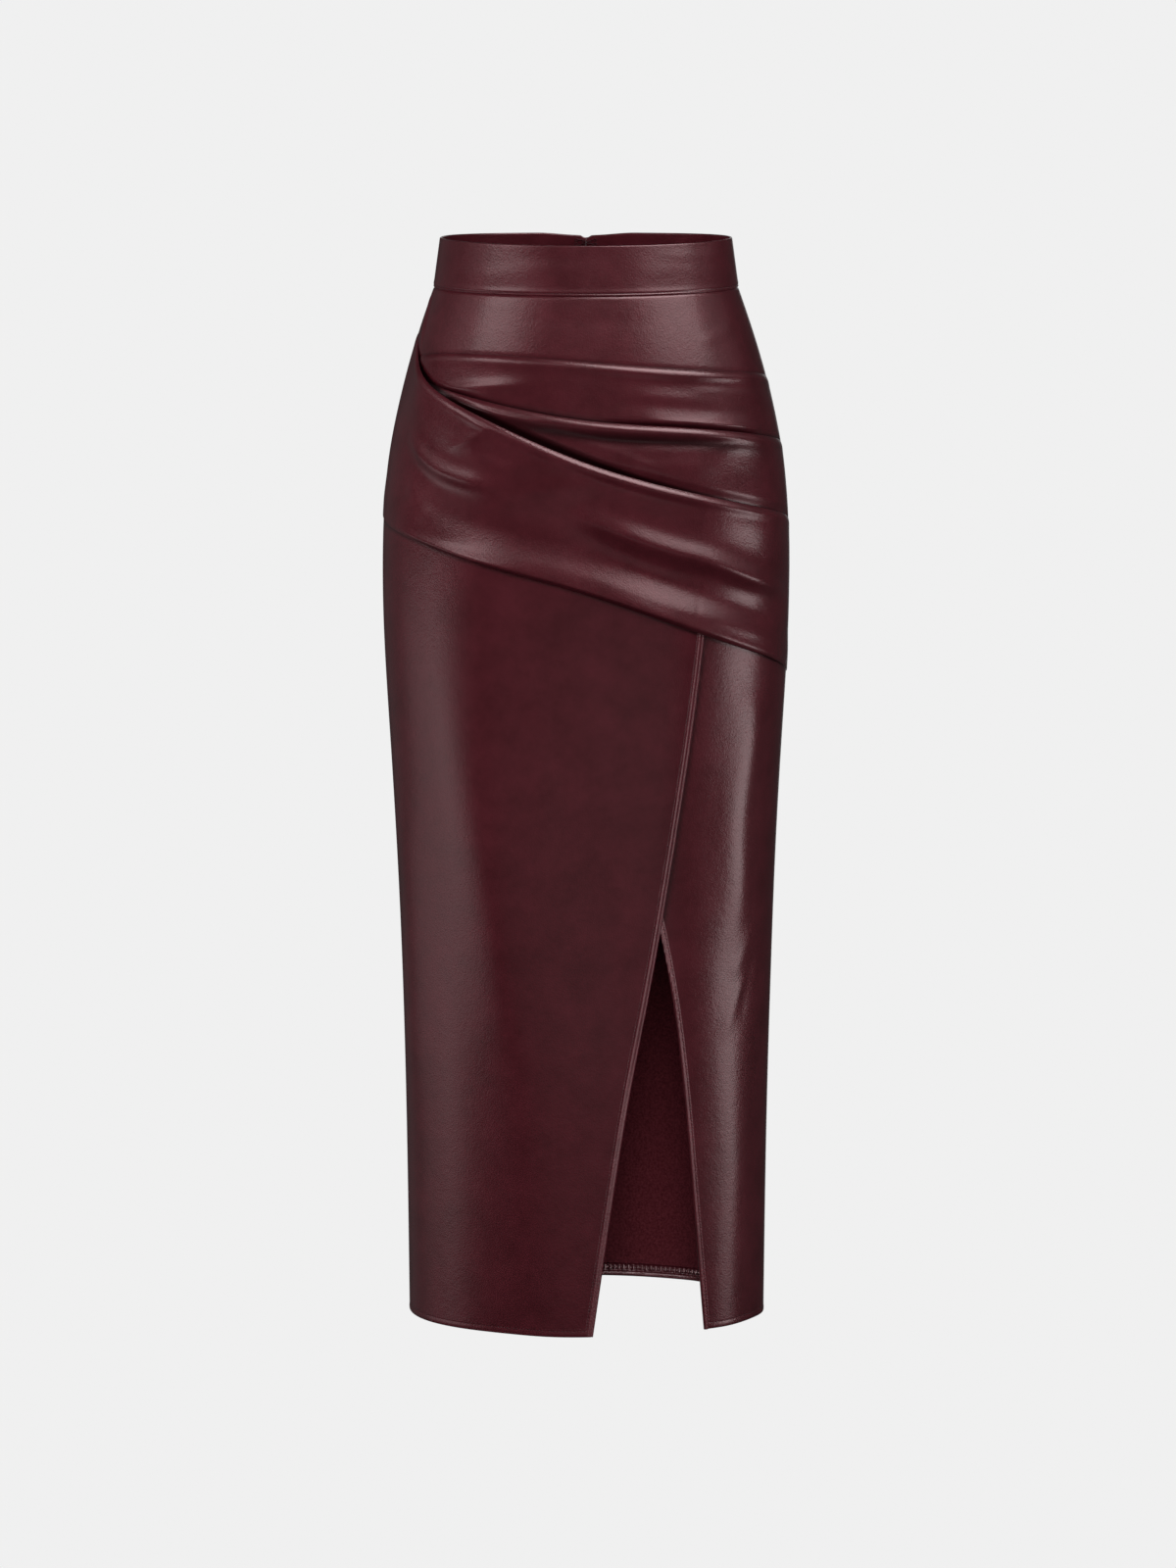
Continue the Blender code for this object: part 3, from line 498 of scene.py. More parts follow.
YOKE_FOLDS = (
    # height, above, below, sharpness, crest
    (1.5, 5.0, 4.5, 1.9, ((-85, -8), (-80, -34), (-75, -58), (-72, -76))),
    (0.20, 9.0, 9.0, 2.0, ((12, -30), (34, -27), (58, -30))),
    (0.45, 7.0, 9.0, 2.0, ((38, -66), (52, -58), (64, -48))),
    (-0.20, 9.0, 9.0, 2.0, ((-26, -44), (2, -48), (30, -46))),
    (0.15, 9.0, 9.0, 2.0, ((-60, -38), (-40, -33), (-22, -36))),
)


def rows_between(top, bottom, from_top, from_bottom, step):
    """Levels for each column: named distances in from each edge, and even steps between them."""
    squeeze = np.minimum(1.0, 0.8 * (top - bottom) / (from_top[-1] + from_bottom[-1] + 0.1))
    head = [top - d * squeeze for d in from_top]
    foot = [bottom + d * squeeze for d in reversed(from_bottom)]
    between = int(np.max(head[-1] - foot[0]) / step)
    shares = np.linspace(0.0, 1.0, between + 2)[1:-1]
    body = [head[-1] + (foot[0] - head[-1]) * share for share in shares]
    return np.array(head + body + foot)


def at_seams(bearing):
    """1 away from the side seams, falling to 0 at them, so that neighbours meet flush."""
    return fade(-np.abs(np.abs(bearing) - SIDE), -SEAM_REACH, 0.0)


def seam_dip(bearing, depth=0.7):
    """The leather turns in at the side seams."""
    return -depth * bell((SIDE - np.abs(bearing)) * SIDE_MM_PER_DEGREE, SEAM_WIDTH)


def band_seam_dip(below):
    """The leather is drawn in along its seam with the waistband."""
    return 0.75 * bell(below, 2.2)


# The inside of the leather: a fine matt knitted backing. Its colour is painted lighter than the leather's to
# stand in for the light inside the skirt.
BACKING_RED = (0.082, 0.0120, 0.0175)
BACKING_PALE = (0.180, 0.0330, 0.0440)
backing, backing_tree, backing_shader = new_finish(
    "knitted_backing", **{"Roughness": 0.92, "Specular IOR Level": 0.2}
)
fuzz = add_node(backing_tree, "ShaderNodeTexNoise", Scale=520.0, Detail=4.0, Roughness=0.8)
add_relief(backing_tree, backing_shader, fuzz, strength=0.6, distance=0.0004)
clumps = add_node(backing_tree, "ShaderNodeMapRange", **{"From Min": 0.38, "From Max": 0.62})
backing_factor, _, backing_colour = colour_mix(backing_tree, BACKING_RED, BACKING_PALE)
backing_tree.links.new(fuzz.outputs["Fac"], clumps.inputs["Value"])
backing_tree.links.new(clumps.outputs["Result"], backing_factor)
backing_tree.links.new(backing_colour, backing_shader.inputs["Base Color"])

cloth = [leather, backing]
EDGE_ROWS = (0.0, 0.15, 0.4, 0.8, 1.3, 2.0, 3.0, 4.5)

yoke_bearings = spaced_bearings(-SIDE, SIDE, 2.2, -50.0)
yoke_top = rim_level(yoke_bearings) - BAND_HEIGHT
yoke_shown = np.maximum(FRONT_LINE["upper_fold"](yoke_bearings), FRONT_LINE["sash_top"](yoke_bearings))
yoke_level = rows_between(yoke_top, yoke_shown - UNDERLAP, EDGE_ROWS, (0.0,), 2.2)
yoke_bearing = columns_of(yoke_bearings, yoke_level)
yoke_shape = fold_relief(yoke_bearing, yoke_level, YOKE_FOLDS)
yoke_shape = yoke_shape * at_seams(yoke_bearing) * fade(yoke_level - yoke_top, -12.0, 0.0)
yoke_shape = yoke_shape + seam_dip(yoke_bearing) - band_seam_dip(yoke_top - yoke_level)
yoke_shape = yoke_shape - 0.4 * fade(yoke_level - yoke_shown, 0.0, 3.0)
# Painted shade: the dye darkens just above the upper pleat's roll and on the hidden part below it.
yoke_painted_shade = 0.5 * fade(yoke_level - yoke_shown, 0.0, 1.8)
yoke = shell("yoke", yoke_bearing, yoke_level, yoke_shape, yoke_shape + LEATHER, cloth, yoke_painted_shade)
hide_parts("front_yoke")


# ---------------------------------------------------------------- the two pleats
# Two folds of leather laid across the front, one over the other. Both run in under the sash at the
# wearer's right and are sewn into the left side seam. Each upper edge is a soft roll.
UPPER_PLEAT_FOLDS = (
    # height, above, below, sharpness, crest
    (0.9, 10.0, 10.0, 2.0, ((4, -107), (20, -110), (36, -114), (60, -119))),
    (0.6, 7.0, 7.0, 1.9, ((28, -104), (45, -108), (62, -112), (80, -116))),
    (3.3, 20.0, 7.0, 1.9, ((2, -126), (20, -131), (42, -137), (66, -141))),
    (1.9, 8.0, 12.0, 1.8, ((-66, -112), (-50, -108), (-36, -103), (-14, -100))),
    (1.2, 4.0, 4.0, 1.7, ((10, -131), (30, -133), (52, -137), (70, -142))),
)
LOWER_PLEAT_FOLDS = (
    # height, above, below, sharpness, crest
    (1.6, 14.0, 16.0, 2.0, ((-4, -158), (14, -167), (30, -170), (46, -172))),
    (-1.2, 7.0, 8.0, 2.0, ((-12, -138), (6, -146), (30, -149), (54, -150))),
    (0.4, 6.0, 8.0, 1.8, ((-12, -139), (1, -149), (12, -160), (23, -174), (36, -186))),
    (0.6, 7.0, 7.0, 1.8, ((36, -152), (50, -155), (62, -158), (78, -162))),
    (1.4, 6.0, 7.0, 1.8, ((-52, -105), (-38, -118), (-22, -128), (-6, -137))),
)
ROLL_RADIUS = 8.0
ROLL_UNDERSIDE = 2.0
ROLL_SWELL = 1.9
ROLL_TOP = 4.5
ROLL_WIDTH = 8.5
ROLL_NOSE = 0.3
EDGE_MARGIN = 4.0
ROLL_ROWS = (0.0, 0.04, 0.15, 0.35, 0.65, 1.05, 1.5, 2.0, 2.6, 3.3, 4.1, 5.0, 6.0, 7.2, 8.6)


def roll(bearing):
    """How full a folded edge is: it lies flat where the side seams hold it."""
    return 0.12 + 0.88 * fade(np.abs(bearing), 56.0, 82.0)


def piled_edge(bearing, distance, stack, reach, swell):
    """The outer and the inner offset near a folded edge that lies on what is already there."""
    stack = stack * roll(bearing)
    fullness = (LEATHER + LAID_GAP) * roll(bearing)
    outer = LEATHER + (stack + fullness) * fade(distance, 3.0, reach)
    inner = np.minimum(stack, outer - LEATHER)
    outer = outer + ROLL_SWELL * swell * bell(distance - ROLL_TOP, ROLL_WIDTH)
    nose = inner + ROLL_NOSE * (outer - inner)
    outside = nose + (outer - nose) * rounded(distance, ROLL_RADIUS)
    inside = nose - (nose - inner) * rounded(distance, ROLL_UNDERSIDE)
    return outside, inside


CAVITY_SHADE = (
    # bearing, how far the shade painted into the hollow above the sash's roll reaches up
    (-90, 1.6),
    (-64, 2.2),
    (-50, 4.5),
    (-36, 8.0),
    (-20, 11.0),
    (-5, 11.0),
    (12, 6.5),
    (32, 3.4),
    (60, 2.4),
    (90, 1.6),
)
cavity_shade_reach = curve_through([row[0] for row in CAVITY_SHADE], [row[1] for row in CAVITY_SHADE])


def painted_hollow_shade(bearing, level, edge):
    """How much shade is painted on a place in the hollow above a fold's edge."""
    above = (level - edge) / cavity_shade_reach(bearing)
    return 0.97 * fade(above, 0.25, 1.05)


def between_edges(bearing, level, top, bottom):
    """1 inside a piece, falling to 0 at its side seams and a little short of its long edges."""
    from_top = fade(level - top, -2.0 * EDGE_MARGIN, -EDGE_MARGIN)
    from_bottom = fade(bottom - level, -EDGE_MARGIN, 0.0)
    return from_top * from_bottom * at_seams(bearing)


def pleat(name, first, height, edge, covered, skins, folds, sunk, dark):
    """One pleat, from its folded edge to a little way under what lies on it.

    first is its first bearing, and height a level on it. sunk is how deep the leather is drawn in where
    it runs under the next piece, and over what height. The last argument gives the shade that is
    painted into the dye at each point.
    """
    bearings = spaced_bearings(first, SIDE, 2.0, height)
    top, shown = edge(bearings), covered(bearings)
    bottom = np.minimum(shown - UNDERLAP, top - 5.0)
    level = rows_between(top, bottom, ROLL_ROWS, (0.0,), 1.8)
    bearing = columns_of(bearings, level)
    outer, inner = skins(bearing, level)
    shape = fold_relief(bearing, level, folds)
    shape = shape * between_edges(bearing, level, top, bottom + UNDERLAP) + seam_dip(bearing, 0.5)
    shape = shape - sunk[0] * fade(level - shown, 0.0, sunk[1]) * at_seams(bearing)
    return shell(name, bearing, level, inner + shape, outer + shape, cloth, dark(bearing, level))


def above_lower_pleat(bearing):
    """The lowest level at which the upper pleat shows."""
    return np.maximum(FRONT_LINE["lower_fold"](bearing), FRONT_LINE["sash_top"](bearing))


def upper_pleat_skins(bearing, level):
    """The outer and the inner offset of the upper pleat, which lies on the yoke."""
    below = FRONT_LINE["upper_fold"](bearing) - level
    return piled_edge(bearing, below, LEATHER + LAID_GAP, 48.0, FRONT_LINE["upper_roll"](bearing))


def upper_pleat_painted_shade(bearing, level):
    """Painted shade on the upper pleat: darker just above the lower one and in the hollow above the sash."""
    above_fold = 0.85 * fade(level - FRONT_LINE["lower_fold"](bearing), 0.3, 3.4)
    return np.maximum(above_fold, painted_hollow_shade(bearing, level, FRONT_LINE["sash_top"](bearing)))


def lower_pleat_skins(bearing, level):
    """The outer and the inner offset of the lower pleat, which lies on the upper one."""
    top = FRONT_LINE["lower_fold"](bearing)
    stack = upper_pleat_skins(bearing, top)[0] + LAID_GAP
    return piled_edge(bearing, top - level, stack, 40.0, FRONT_LINE["lower_roll"](bearing))


def lower_pleat_painted_shade(bearing, level):
    """Painted shade on the lower pleat: darker under its roll and in the hollow above the sash."""
    below = FRONT_LINE["lower_fold"](bearing) - level
    under_roll = 0.85 * bell(below - 13.0, 9.0) * fade(np.abs(bearing - 16.0), 24.0, 54.0)
    return np.maximum(painted_hollow_shade(bearing, level, FRONT_LINE["sash_top"](bearing)), under_roll)


top_pleat = pleat(
    "top_pleat",
    first=-75.0,
    height=-100.0,
    edge=FRONT_LINE["upper_fold"],
    covered=above_lower_pleat,
    skins=upper_pleat_skins,
    folds=UPPER_PLEAT_FOLDS,
    sunk=(1.3, 6.0),
    dark=upper_pleat_painted_shade,
)
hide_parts("upper_pleat")

second_pleat = pleat(
    "second_pleat",
    first=-60.0,
    height=-130.0,
    edge=FRONT_LINE["lower_fold"],
    covered=FRONT_LINE["sash_top"],
    skins=lower_pleat_skins,
    folds=LOWER_PLEAT_FOLDS,
    sunk=(2.4, 9.0),
    dark=lower_pleat_painted_shade,
)
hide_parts("lower_pleat")


# ---------------------------------------------------------------- the sash
# A wide doubled band drawn across the hips from the right side seam down to the left one. It hangs in
# shallow swags, its upper edge stands off the pleats in a roll, and its lower edge is folded under.
SASH_FOLDS = (
    # height, above, below, sharpness, crest
    (
        3.6, 15.0, 10.0, 1.8,
        ((-64, -142), (-58, -153), (-52, -164), (-47, -171), (-41, -177), (-33, -182), (-22, -188)),
    ),
    (0.9, 5.0, 7.0, 1.8, ((-39, -119), (-35, -128), (-31, -135), (-30, -140), (-35, -148), (-44, -157))),
    (1.1, 15.0, 18.0, 2.0, ((-40, -186), (-26, -192), (-12, -190), (0, -182), (8, -176))),
    (
        6.0, 18.5, 14.0, 1.8,
        ((-10, -200), (8, -222), (22, -238), (33, -247), (46, -260), (60, -271), (78, -280)),
    ),
    (
        4.6, 20.0, 14.0, 2.0,
        ((-70, -238), (-50, -248), (-28, -252), (-8, -264), (10, -283), (28, -305), (50, -328)),
    ),
    (2.1, 14.0, 8.0, 2.0, ((-72, -224), (-56, -234), (-40, -244), (-26, -253), (-10, -264))),
    (0.6, 8.0, 8.0, 1.8, ((-12, -163), (-7, -170), (-1, -175))),
    (-1.0, 9.0, 9.0, 2.0, ((-34, -151), (-26, -158), (-20, -168))),
    (0.9, 8.0, 6.0, 1.8, ((30, -303), (46, -320), (64, -334), (84, -348))),
    (0.5, 10.0, 18.0, 2.0, ((28, -202), (42, -212), (56, -222), (74, -232))),
    (1.3, 14.0, 14.0, 2.0, ((-62, -186), (-52, -202), (-49, -222))),
    (-0.25, 3.0, 3.0, 2.0, ((33, -258), (32, -282), (30, -306))),
)
SASH_FOOT_ROWS = (0.0, 0.05, 0.2, 0.45, 0.8, 1.2, 1.8, 2.6, 3.8, 5.4)
SASH_FOOT_RADIUS = 1.6
SASH_FOOT_FULLNESS = 0.6
SASH_FOOT_REACH = 38.0
SASH_ROLL_REACH = 74.0
SASH_FOOT_HEIGHT = 50.0

sash_bearings = spaced_bearings(-SIDE, SIDE, 2.1, -200.0)
sash_top = FRONT_LINE["sash_top"](sash_bearings)
sash_bottom = FRONT_LINE["sash_bottom"](sash_bearings)
sash_level = rows_between(sash_top, sash_bottom, ROLL_ROWS, SASH_FOOT_ROWS, 2.1)
sash_bearing = columns_of(sash_bearings, sash_level)
sash_top_stack = FRONT_LINE["sash_top_stack"](sash_bearing)
sash_bottom_stack = FRONT_LINE["sash_bottom_stack"](sash_bearing) * roll(sash_bearing)
sash_swell = FRONT_LINE["sash_roll"](sash_bearing)
sash_outer, sash_inner = piled_edge(
    sash_bearing, sash_top - sash_level, sash_top_stack, SASH_ROLL_REACH, sash_swell
)
sash_above = sash_level - sash_bottom
sash_rise = sash_bottom_stack + SASH_FOOT_FULLNESS
sash_rise = sash_rise * fade(sash_above, UNDERLAP + 1.0, SASH_FOOT_REACH)
raised_inner = np.minimum(sash_bottom_stack, sash_inner + sash_rise)
sash_inner = np.where(sash_above < SASH_FOOT_HEIGHT, raised_inner, sash_inner)
sash_outer = sash_outer + sash_rise
sash_half = (sash_outer - sash_inner) / 2 * rounded(sash_above, SASH_FOOT_RADIUS)
sash_middle = (sash_outer + sash_inner) / 2
sash_shape = fold_relief(sash_bearing, sash_level, SASH_FOLDS)
sash_shape = sash_shape * between_edges(sash_bearing, sash_level, sash_top, sash_bottom)
sash_middle = sash_middle + sash_shape + seam_dip(sash_bearing, 0.5)
sash_skins = sash_middle - sash_half, sash_middle + sash_half
sash = shell("sash", sash_bearing, sash_level, *sash_skins, cloth)
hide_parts("hip_sash")


# ---------------------------------------------------------------- the wrap
# The upper front panel. It hangs from under the sash, and its slanting edge is turned under and
# topstitched into a thin welt. The hem is turned and stitched in the same way.
HEM_LEVEL = -916.5
HEM_RISE = 1.5
SLIT_TOP = -290.0
LAY_GAP = 0.7
SLIT = (
    # level, wrap_edge, under_edge
    (-290.0, 34.9, -1.0),
    (-400.0, 31.0, 7.5),
    (-485.0, 27.1, 15.2),
    (-563.0, 22.9, 22.6),
    (-624.0, 19.2, 27.3),
    (-700.0, 14.1, 31.5),
    (-800.0, 8.3, 35.6),
    (-916.0, 2.2, 40.3),
)
SLIT_CURVES = [curve_through([row[0] for row in SLIT], [row[edge] for row in SLIT]) for edge in (1, 2)]
WRAP_FOLDS = (
    # height, above, below, sharpness, crest
    (6.5, 95.0, 62.0, 2.0, ((-41, -250), (-36, -400), (-26, -540), (-18, -650), (-10, -800), (-4, -1400))),
    (1.6, 30.0, 30.0, 2.0, ((-78, -420), (-70, -560), (-72, -760))),
    (0.5, 14.0, 14.0, 2.0, ((-22, -356), (-12, -420), (-14, -500))),
    (0.5, 20.0, 20.0, 2.0, ((6, -520), (2, -640), (-4, -780))),
    (-0.4, 16.0, 16.0, 2.0, ((14, -330), (12, -430), (10, -520))),
)

# A turned edge in section: how far in from the edge, and how high over the panel's face there.
WELT_OUTSIDE = (
    # in_from_edge, height
    (8.4, -0.50), (7.6, -0.10), (7.2, -0.01), (6.9, -0.05), (6.6, -0.13), (6.3, -0.06),
    (5.9, 0.20), (5.4, 0.48), (4.8, 0.66), (4.2, 0.64), (3.6, 0.50), (3.1, 0.34),
    (2.7, 0.19), (2.5, 0.06), (2.35, -0.02), (2.2, 0.05), (1.9, 0.22), (1.5, 0.32),
    (1.1, 0.27), (0.7, 0.15), (0.4, 0.0), (0.15, -0.20), (0.0, -0.50),
)
WELT_INSIDE = (
    (0.0, -0.05), (0.1, 0.10), (0.4, 0.24), (0.9, 0.30), (2.4, 0.32), (4.4, 0.32),
    (6.4, 0.28), (7.6, 0.20), (8.1, 0.05), (8.4, -0.30),
)
WELT_STITCH_IN = 6.6
HEM_OUTSIDE = (
    (8.4, -0.50), (7.6, -0.12), (7.2, -0.01), (6.4, 0.0), (5.8, -0.03), (5.4, -0.07),
    (5.0, -0.03), (4.4, 0.10), (3.6, 0.20), (2.6, 0.23), (1.6, 0.20), (0.9, 0.10),
    (0.4, -0.06), (0.1, -0.30), (0.0, -0.60),
)
HEM_INSIDE = (
    (0.0, 0.10), (0.1, 0.45), (0.4, 0.75), (0.9, 0.95), (2.0, 1.12), (3.4, 1.30),
    (4.6, 1.35), (5.4, 0.95), (6.2, 1.20), (7.4, 1.40), (8.8, 1.45), (10.2, 1.35),
    (11.2, 1.15), (11.8, 0.80), (12.0, -0.30),
)
HEM_STITCH_UP = 5.4
TURNED_STRIP = 7.2
HEM_ROWS = (0.0, 0.12, 0.35, 0.8, 1.6, 2.8)
PUCKER_PITCH = 2.7
STITCH_SUNK = -0.20


def wrap_edge(level):
    """The bearing of the wrap's slanting edge; above the slit's table it runs straight up."""
    return SLIT_CURVES[0](np.clip(level, HEM_LEVEL, SLIT_TOP))


def under_edge(level):
    """The bearing of the lower panel's edge."""
    return SLIT_CURVES[1](np.clip(level, HEM_LEVEL, SLIT_TOP))


def hem_level(bearing):
    """The hem, lowest at the centre front and a little raised behind."""
    return HEM_LEVEL + HEM_RISE * (1.0 - np.cos(np.radians(bearing)))


def shares_across(count):
    """Shares of a panel's width, close together at both edges so that the shading stays flat there."""
    fine = np.array([0.0, 0.001, 0.0026, 0.0048, 0.0078, 0.013])
    return np.concatenate([fine, np.linspace(0.020, 0.980, count), 1.0 - fine[::-1]])


def slanted_grid(first_edge, last_edge, shares, step):
    """Bearings and levels of a panel with a slanting side, settled one against the other."""
    level = np.full((1, len(shares)), SLIT_TOP)
    for _ in range(6):
        start, end = first_edge(level), last_edge(level)
        bearing = start + (end - start) * shares
        top = FRONT_LINE["sash_bottom"](bearing[0]) + UNDERLAP
        level = rows_between(top, hem_level(bearing[0]) + TURNED_STRIP, (0.0,), HEM_ROWS, step)
    start, end = first_edge(level), last_edge(level)
    return start + (end - start) * shares, level


def wrap_skins(bearing, level):
    """The wrap's inner and outer offsets, without its turned edges."""
    covering = fade(under_edge(level) - bearing, 2.5, 20.0)
    relief = fold_relief(bearing, level, WRAP_FOLDS)
    top = FRONT_LINE["sash_bottom"](bearing) + UNDERLAP
    relief = relief * fade(level - top, -70.0, -25.0) * at_seams(bearing)
    inner = (LEATHER + LAY_GAP) * covering + relief + seam_dip(bearing)
    return inner, inner + LEATHER


def turned_edge(name, bearing, level, inward, skins, outside, inside, dents, fullness=1.0):
    """A closed strip that turns a panel's edge under: its section follows the edge.

    inward points away from the edge, as millimetres round the form and millimetres up.
    """
    scale = arc_per_degree(bearing, level)
    steps = np.stack([np.diff(bearing) * scale[1:], np.diff(level)], axis=1)
    along = np.append(0.0, np.cumsum(np.linalg.norm(steps, axis=1)))
    loops = []
    for profile, way in ((outside, 1.0), (inside, -1.0)):
        for distance, height in profile:
            place_bearing = bearing + inward[0] * distance / scale
            place_level = level + inward[1] * distance
            inner, outer = skins(place_bearing, place_level)
            lift = height * (fullness if height > 0 else 1.0) + dents(along, distance, way)
            loops.append(skin_point(place_bearing, place_level, outer + lift if way > 0 else inner - lift))
    points = np.stack(loops)
    rounds, count = points.shape[:2]
    corner = np.arange(rounds * count).reshape(rounds, count)
    closed = np.vstack([corner, corner[:1]])
    sides = np.stack([closed[:-1, :-1], closed[:-1, 1:], closed[1:, 1:], closed[1:, :-1]], axis=-1)
    faces = sides.reshape(-1, 4).tolist() + [corner[:, 0].tolist(), corner[::-1, -1].tolist()]
    made = add_piece(name, points.reshape(-1, 3), faces, [leather], np.zeros(len(faces), int))
    work = bmesh.new()
    work.from_mesh(made.data)
    bmesh.ops.recalc_face_normals(work, faces=work.faces)
    work.to_mesh(made.data)
    work.free()
    return made


def welt_dents(along, distance, way):
    """The dents that the stitches draw into the welt's outside."""
    drawn = 0.5 + 0.5 * np.cos(2 * np.pi * along / PUCKER_PITCH)
    drawn = drawn * (1.0 + 0.3 * np.sin(0.171 * along) * np.cos(0.093 * along))
    filled = 0.24 * bell(distance - 2.35, 0.8) * fade(along, 430.0, 350.0)
    return filled - 0.30 * drawn * bell(distance - 6.2, 1.2) if way > 0 else 0.0 * along


def hem_dents(along, distance, way):
    """The turned hem lies smooth outside; inside it is gathered above its stitches."""
    if way > 0:
        return -0.10 * (0.5 + 0.5 * np.cos(2 * np.pi * along / STITCH_PITCH)) * bell(distance - 5.0, 1.4)
    phase = 2 * np.pi * along / 4.3 + 0.7 * np.sin(along / 9.0) + 0.5 * np.sin(along / 3.7)
    gathers = 0.55 * np.sin(phase) * bell(distance - 8.6, 3.4)
    holes = -0.55 * (0.5 + 0.5 * np.cos(phase)) ** 2 * bell(distance - 5.6, 1.1)
    return gathers + holes


def sewn_line(name, bearing, level, inward, distance, skins, sink, pitch):
    """Stitches at a distance in from an edge."""
    scale = arc_per_degree(bearing, level)
    place_bearing = bearing + inward[0] * distance / scale
    place_level = level + inward[1] * distance
    outer = skins(place_bearing, place_level)[1]
    return stitches(name, place_bearing, place_level, outer + sink, pitch, 0.72 * pitch)


def turned_hem(name, first, last, skins):
    """The turned hem of one panel, and its stitches."""
    bearing = spaced_bearings(first, last, 0.75, HEM_LEVEL)
    level = hem_level(bearing)
    up = np.stack([np.zeros_like(bearing), np.ones_like(bearing)])
    strip = turned_edge(name, bearing, level, up, skins, HEM_OUTSIDE, HEM_INSIDE, hem_dents)
    row = sewn_line(
        name + "_stitches", bearing, level, up, HEM_STITCH_UP, skins, STITCH_SUNK, STITCH_PITCH
    )
    return [strip, row]


def away_from(edge, bearing, level, side):
    """The direction into a panel from its slanting edge, at right angles to the edge."""
    slant = np.gradient(bearing, level) * arc_per_degree(bearing, level)
    return np.stack([np.full_like(slant, side), -side * slant]) / np.hypot(1.0, slant)


def right_seam(level):
    return np.full(np.shape(level), -SIDE)


def wrap_strip_start(level):
    """Where the wrap's flat part ends and its turned edge begins."""
    edge = wrap_edge(level)
    return edge - TURNED_STRIP / arc_per_degree(edge, level)


wrap_shares = shares_across(90)
wrap_bearing, wrap_level = slanted_grid(right_seam, wrap_strip_start, wrap_shares, 4.2)
# Painted shade: the dye darkens just under the sash's lower edge.
wrap_painted_shade = 0.6 * fade(FRONT_LINE["sash_bottom"](wrap_bearing) - wrap_level, 0.3, 3.0)
wrap = shell("wrap", wrap_bearing, wrap_level, *wrap_skins(wrap_bearing, wrap_level), cloth, wrap_painted_shade)

welt_top = float(FRONT_LINE["sash_bottom"](SLIT[0][1])) + 10.0
welt_level = np.linspace(welt_top, HEM_LEVEL + 0.2, 1000)
welt_bearing = wrap_edge(welt_level)
welt_line = welt_bearing, welt_level, away_from(wrap_edge, welt_bearing, welt_level, -1.0)
wrap_welt = turned_edge("wrap_welt", *welt_line, wrap_skins, WELT_OUTSIDE, WELT_INSIDE, welt_dents)
wrap_welt_stitches = sewn_line(
    "wrap_welt_stitches", *welt_line, WELT_STITCH_IN, wrap_skins, STITCH_SUNK, PUCKER_PITCH
)
wrap_hem = turned_hem("wrap_hem", -SIDE, float(wrap_edge(HEM_LEVEL)) - 0.7, wrap_skins)
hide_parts("wrap_panel")


# ---------------------------------------------------------------- the underlap
# The lower front panel. It lies under the wrap and comes out from behind it about two thirds down. Its
# edge is rolled and stitched, and the roll twists a little where it leaves the wrap.
UNDER_FOLDS = (
    # height, above, below, sharpness, crest
    (2.2, 26.0, 30.0, 2.0, ((50, -330), (55, -400), (51, -470), (52, -540), (45, -600))),
    (1.4, 30.0, 28.0, 2.0, ((48, -590), (49, -680), (53, -780), (50, -880), (46, -1300))),
    (1.6, 24.0, 24.0, 2.0, ((80, -400), (82, -600), (80, -800), (80, -1200))),
    (0.5, 9.0, 12.0, 1.7, ((62, -560), (56, -590), (49, -612))),
    (0.5, 8.0, 10.0, 1.7, ((60, -600), (52, -634), (46, -668))),
    (-0.4, 9.0, 9.0, 2.0, ((64, -585), (58, -620), (56, -660))),
)
BEAD_OUTSIDE = (
    # in_from_edge, height
    (6.8, -0.50), (6.0, -0.12), (5.6, -0.02), (5.0, 0.0), (4.6, 0.02), (4.2, 0.14),
    (3.8, 0.45), (3.2, 0.85), (2.5, 1.10), (1.8, 1.15), (1.1, 1.00), (0.6, 0.70),
    (0.25, 0.30), (0.05, -0.10), (0.0, -0.50),
)
BEAD_INSIDE = (
    (0.0, 0.05), (0.1, 0.20), (0.4, 0.34), (1.0, 0.42), (2.4, 0.45), (4.0, 0.42),
    (5.4, 0.35), (6.3, 0.15), (6.8, -0.3),
)
BEAD_STITCH_IN = 4.5
BEAD_STITCH_SUNK = -0.05
BEAD_STRIP = 5.6
BEAD_FREE_LEVEL = -600.0
TWIST_PITCH = 8.5
TWIST_FROM_TOP = 318.0


def under_skins(bearing, level):
    """The underlap's inner and outer offsets, without its turned edges."""
    clear_of_wrap = fade(wrap_edge(level) - bearing, -14.0, -2.0)
    top = FRONT_LINE["sash_bottom"](bearing) + UNDERLAP
    relief = fold_relief(bearing, level, UNDER_FOLDS) * clear_of_wrap * fade(level - top, -60.0, -20.0)
    relief = relief + seam_dip(bearing)
    return relief, relief + LEATHER


def bead_dents(along, distance, way):
    """The roll's dents: drawn in by the stitches all along, and twisted like a cord near its upper end."""
    if way < 0:
        return 0.0 * along
    drawn = -0.38 * (0.5 + 0.5 * np.cos(2 * np.pi * along / PUCKER_PITCH)) * bell(distance - 3.9, 1.2)
    twisted = fade(np.abs(along - TWIST_FROM_TOP), 30.0, 90.0)
    turn = 2 * np.pi * (along + 2.6 * distance) / TWIST_PITCH + 1.1 * np.sin(along / 11.0)
    return drawn + 0.32 * np.sin(turn) * twisted * bell(distance - 2.0, 3.0)


def left_seam(level):
    return np.full(np.shape(level), SIDE)


def under_strip_start(level):
    """Where the underlap's flat part ends and its rolled edge begins."""
    edge = under_edge(level)
    return edge + BEAD_STRIP / arc_per_degree(edge, level)


under_shares = shares_across(76)
under_bearing, under_level = slanted_grid(under_strip_start, left_seam, under_shares, 4.2)
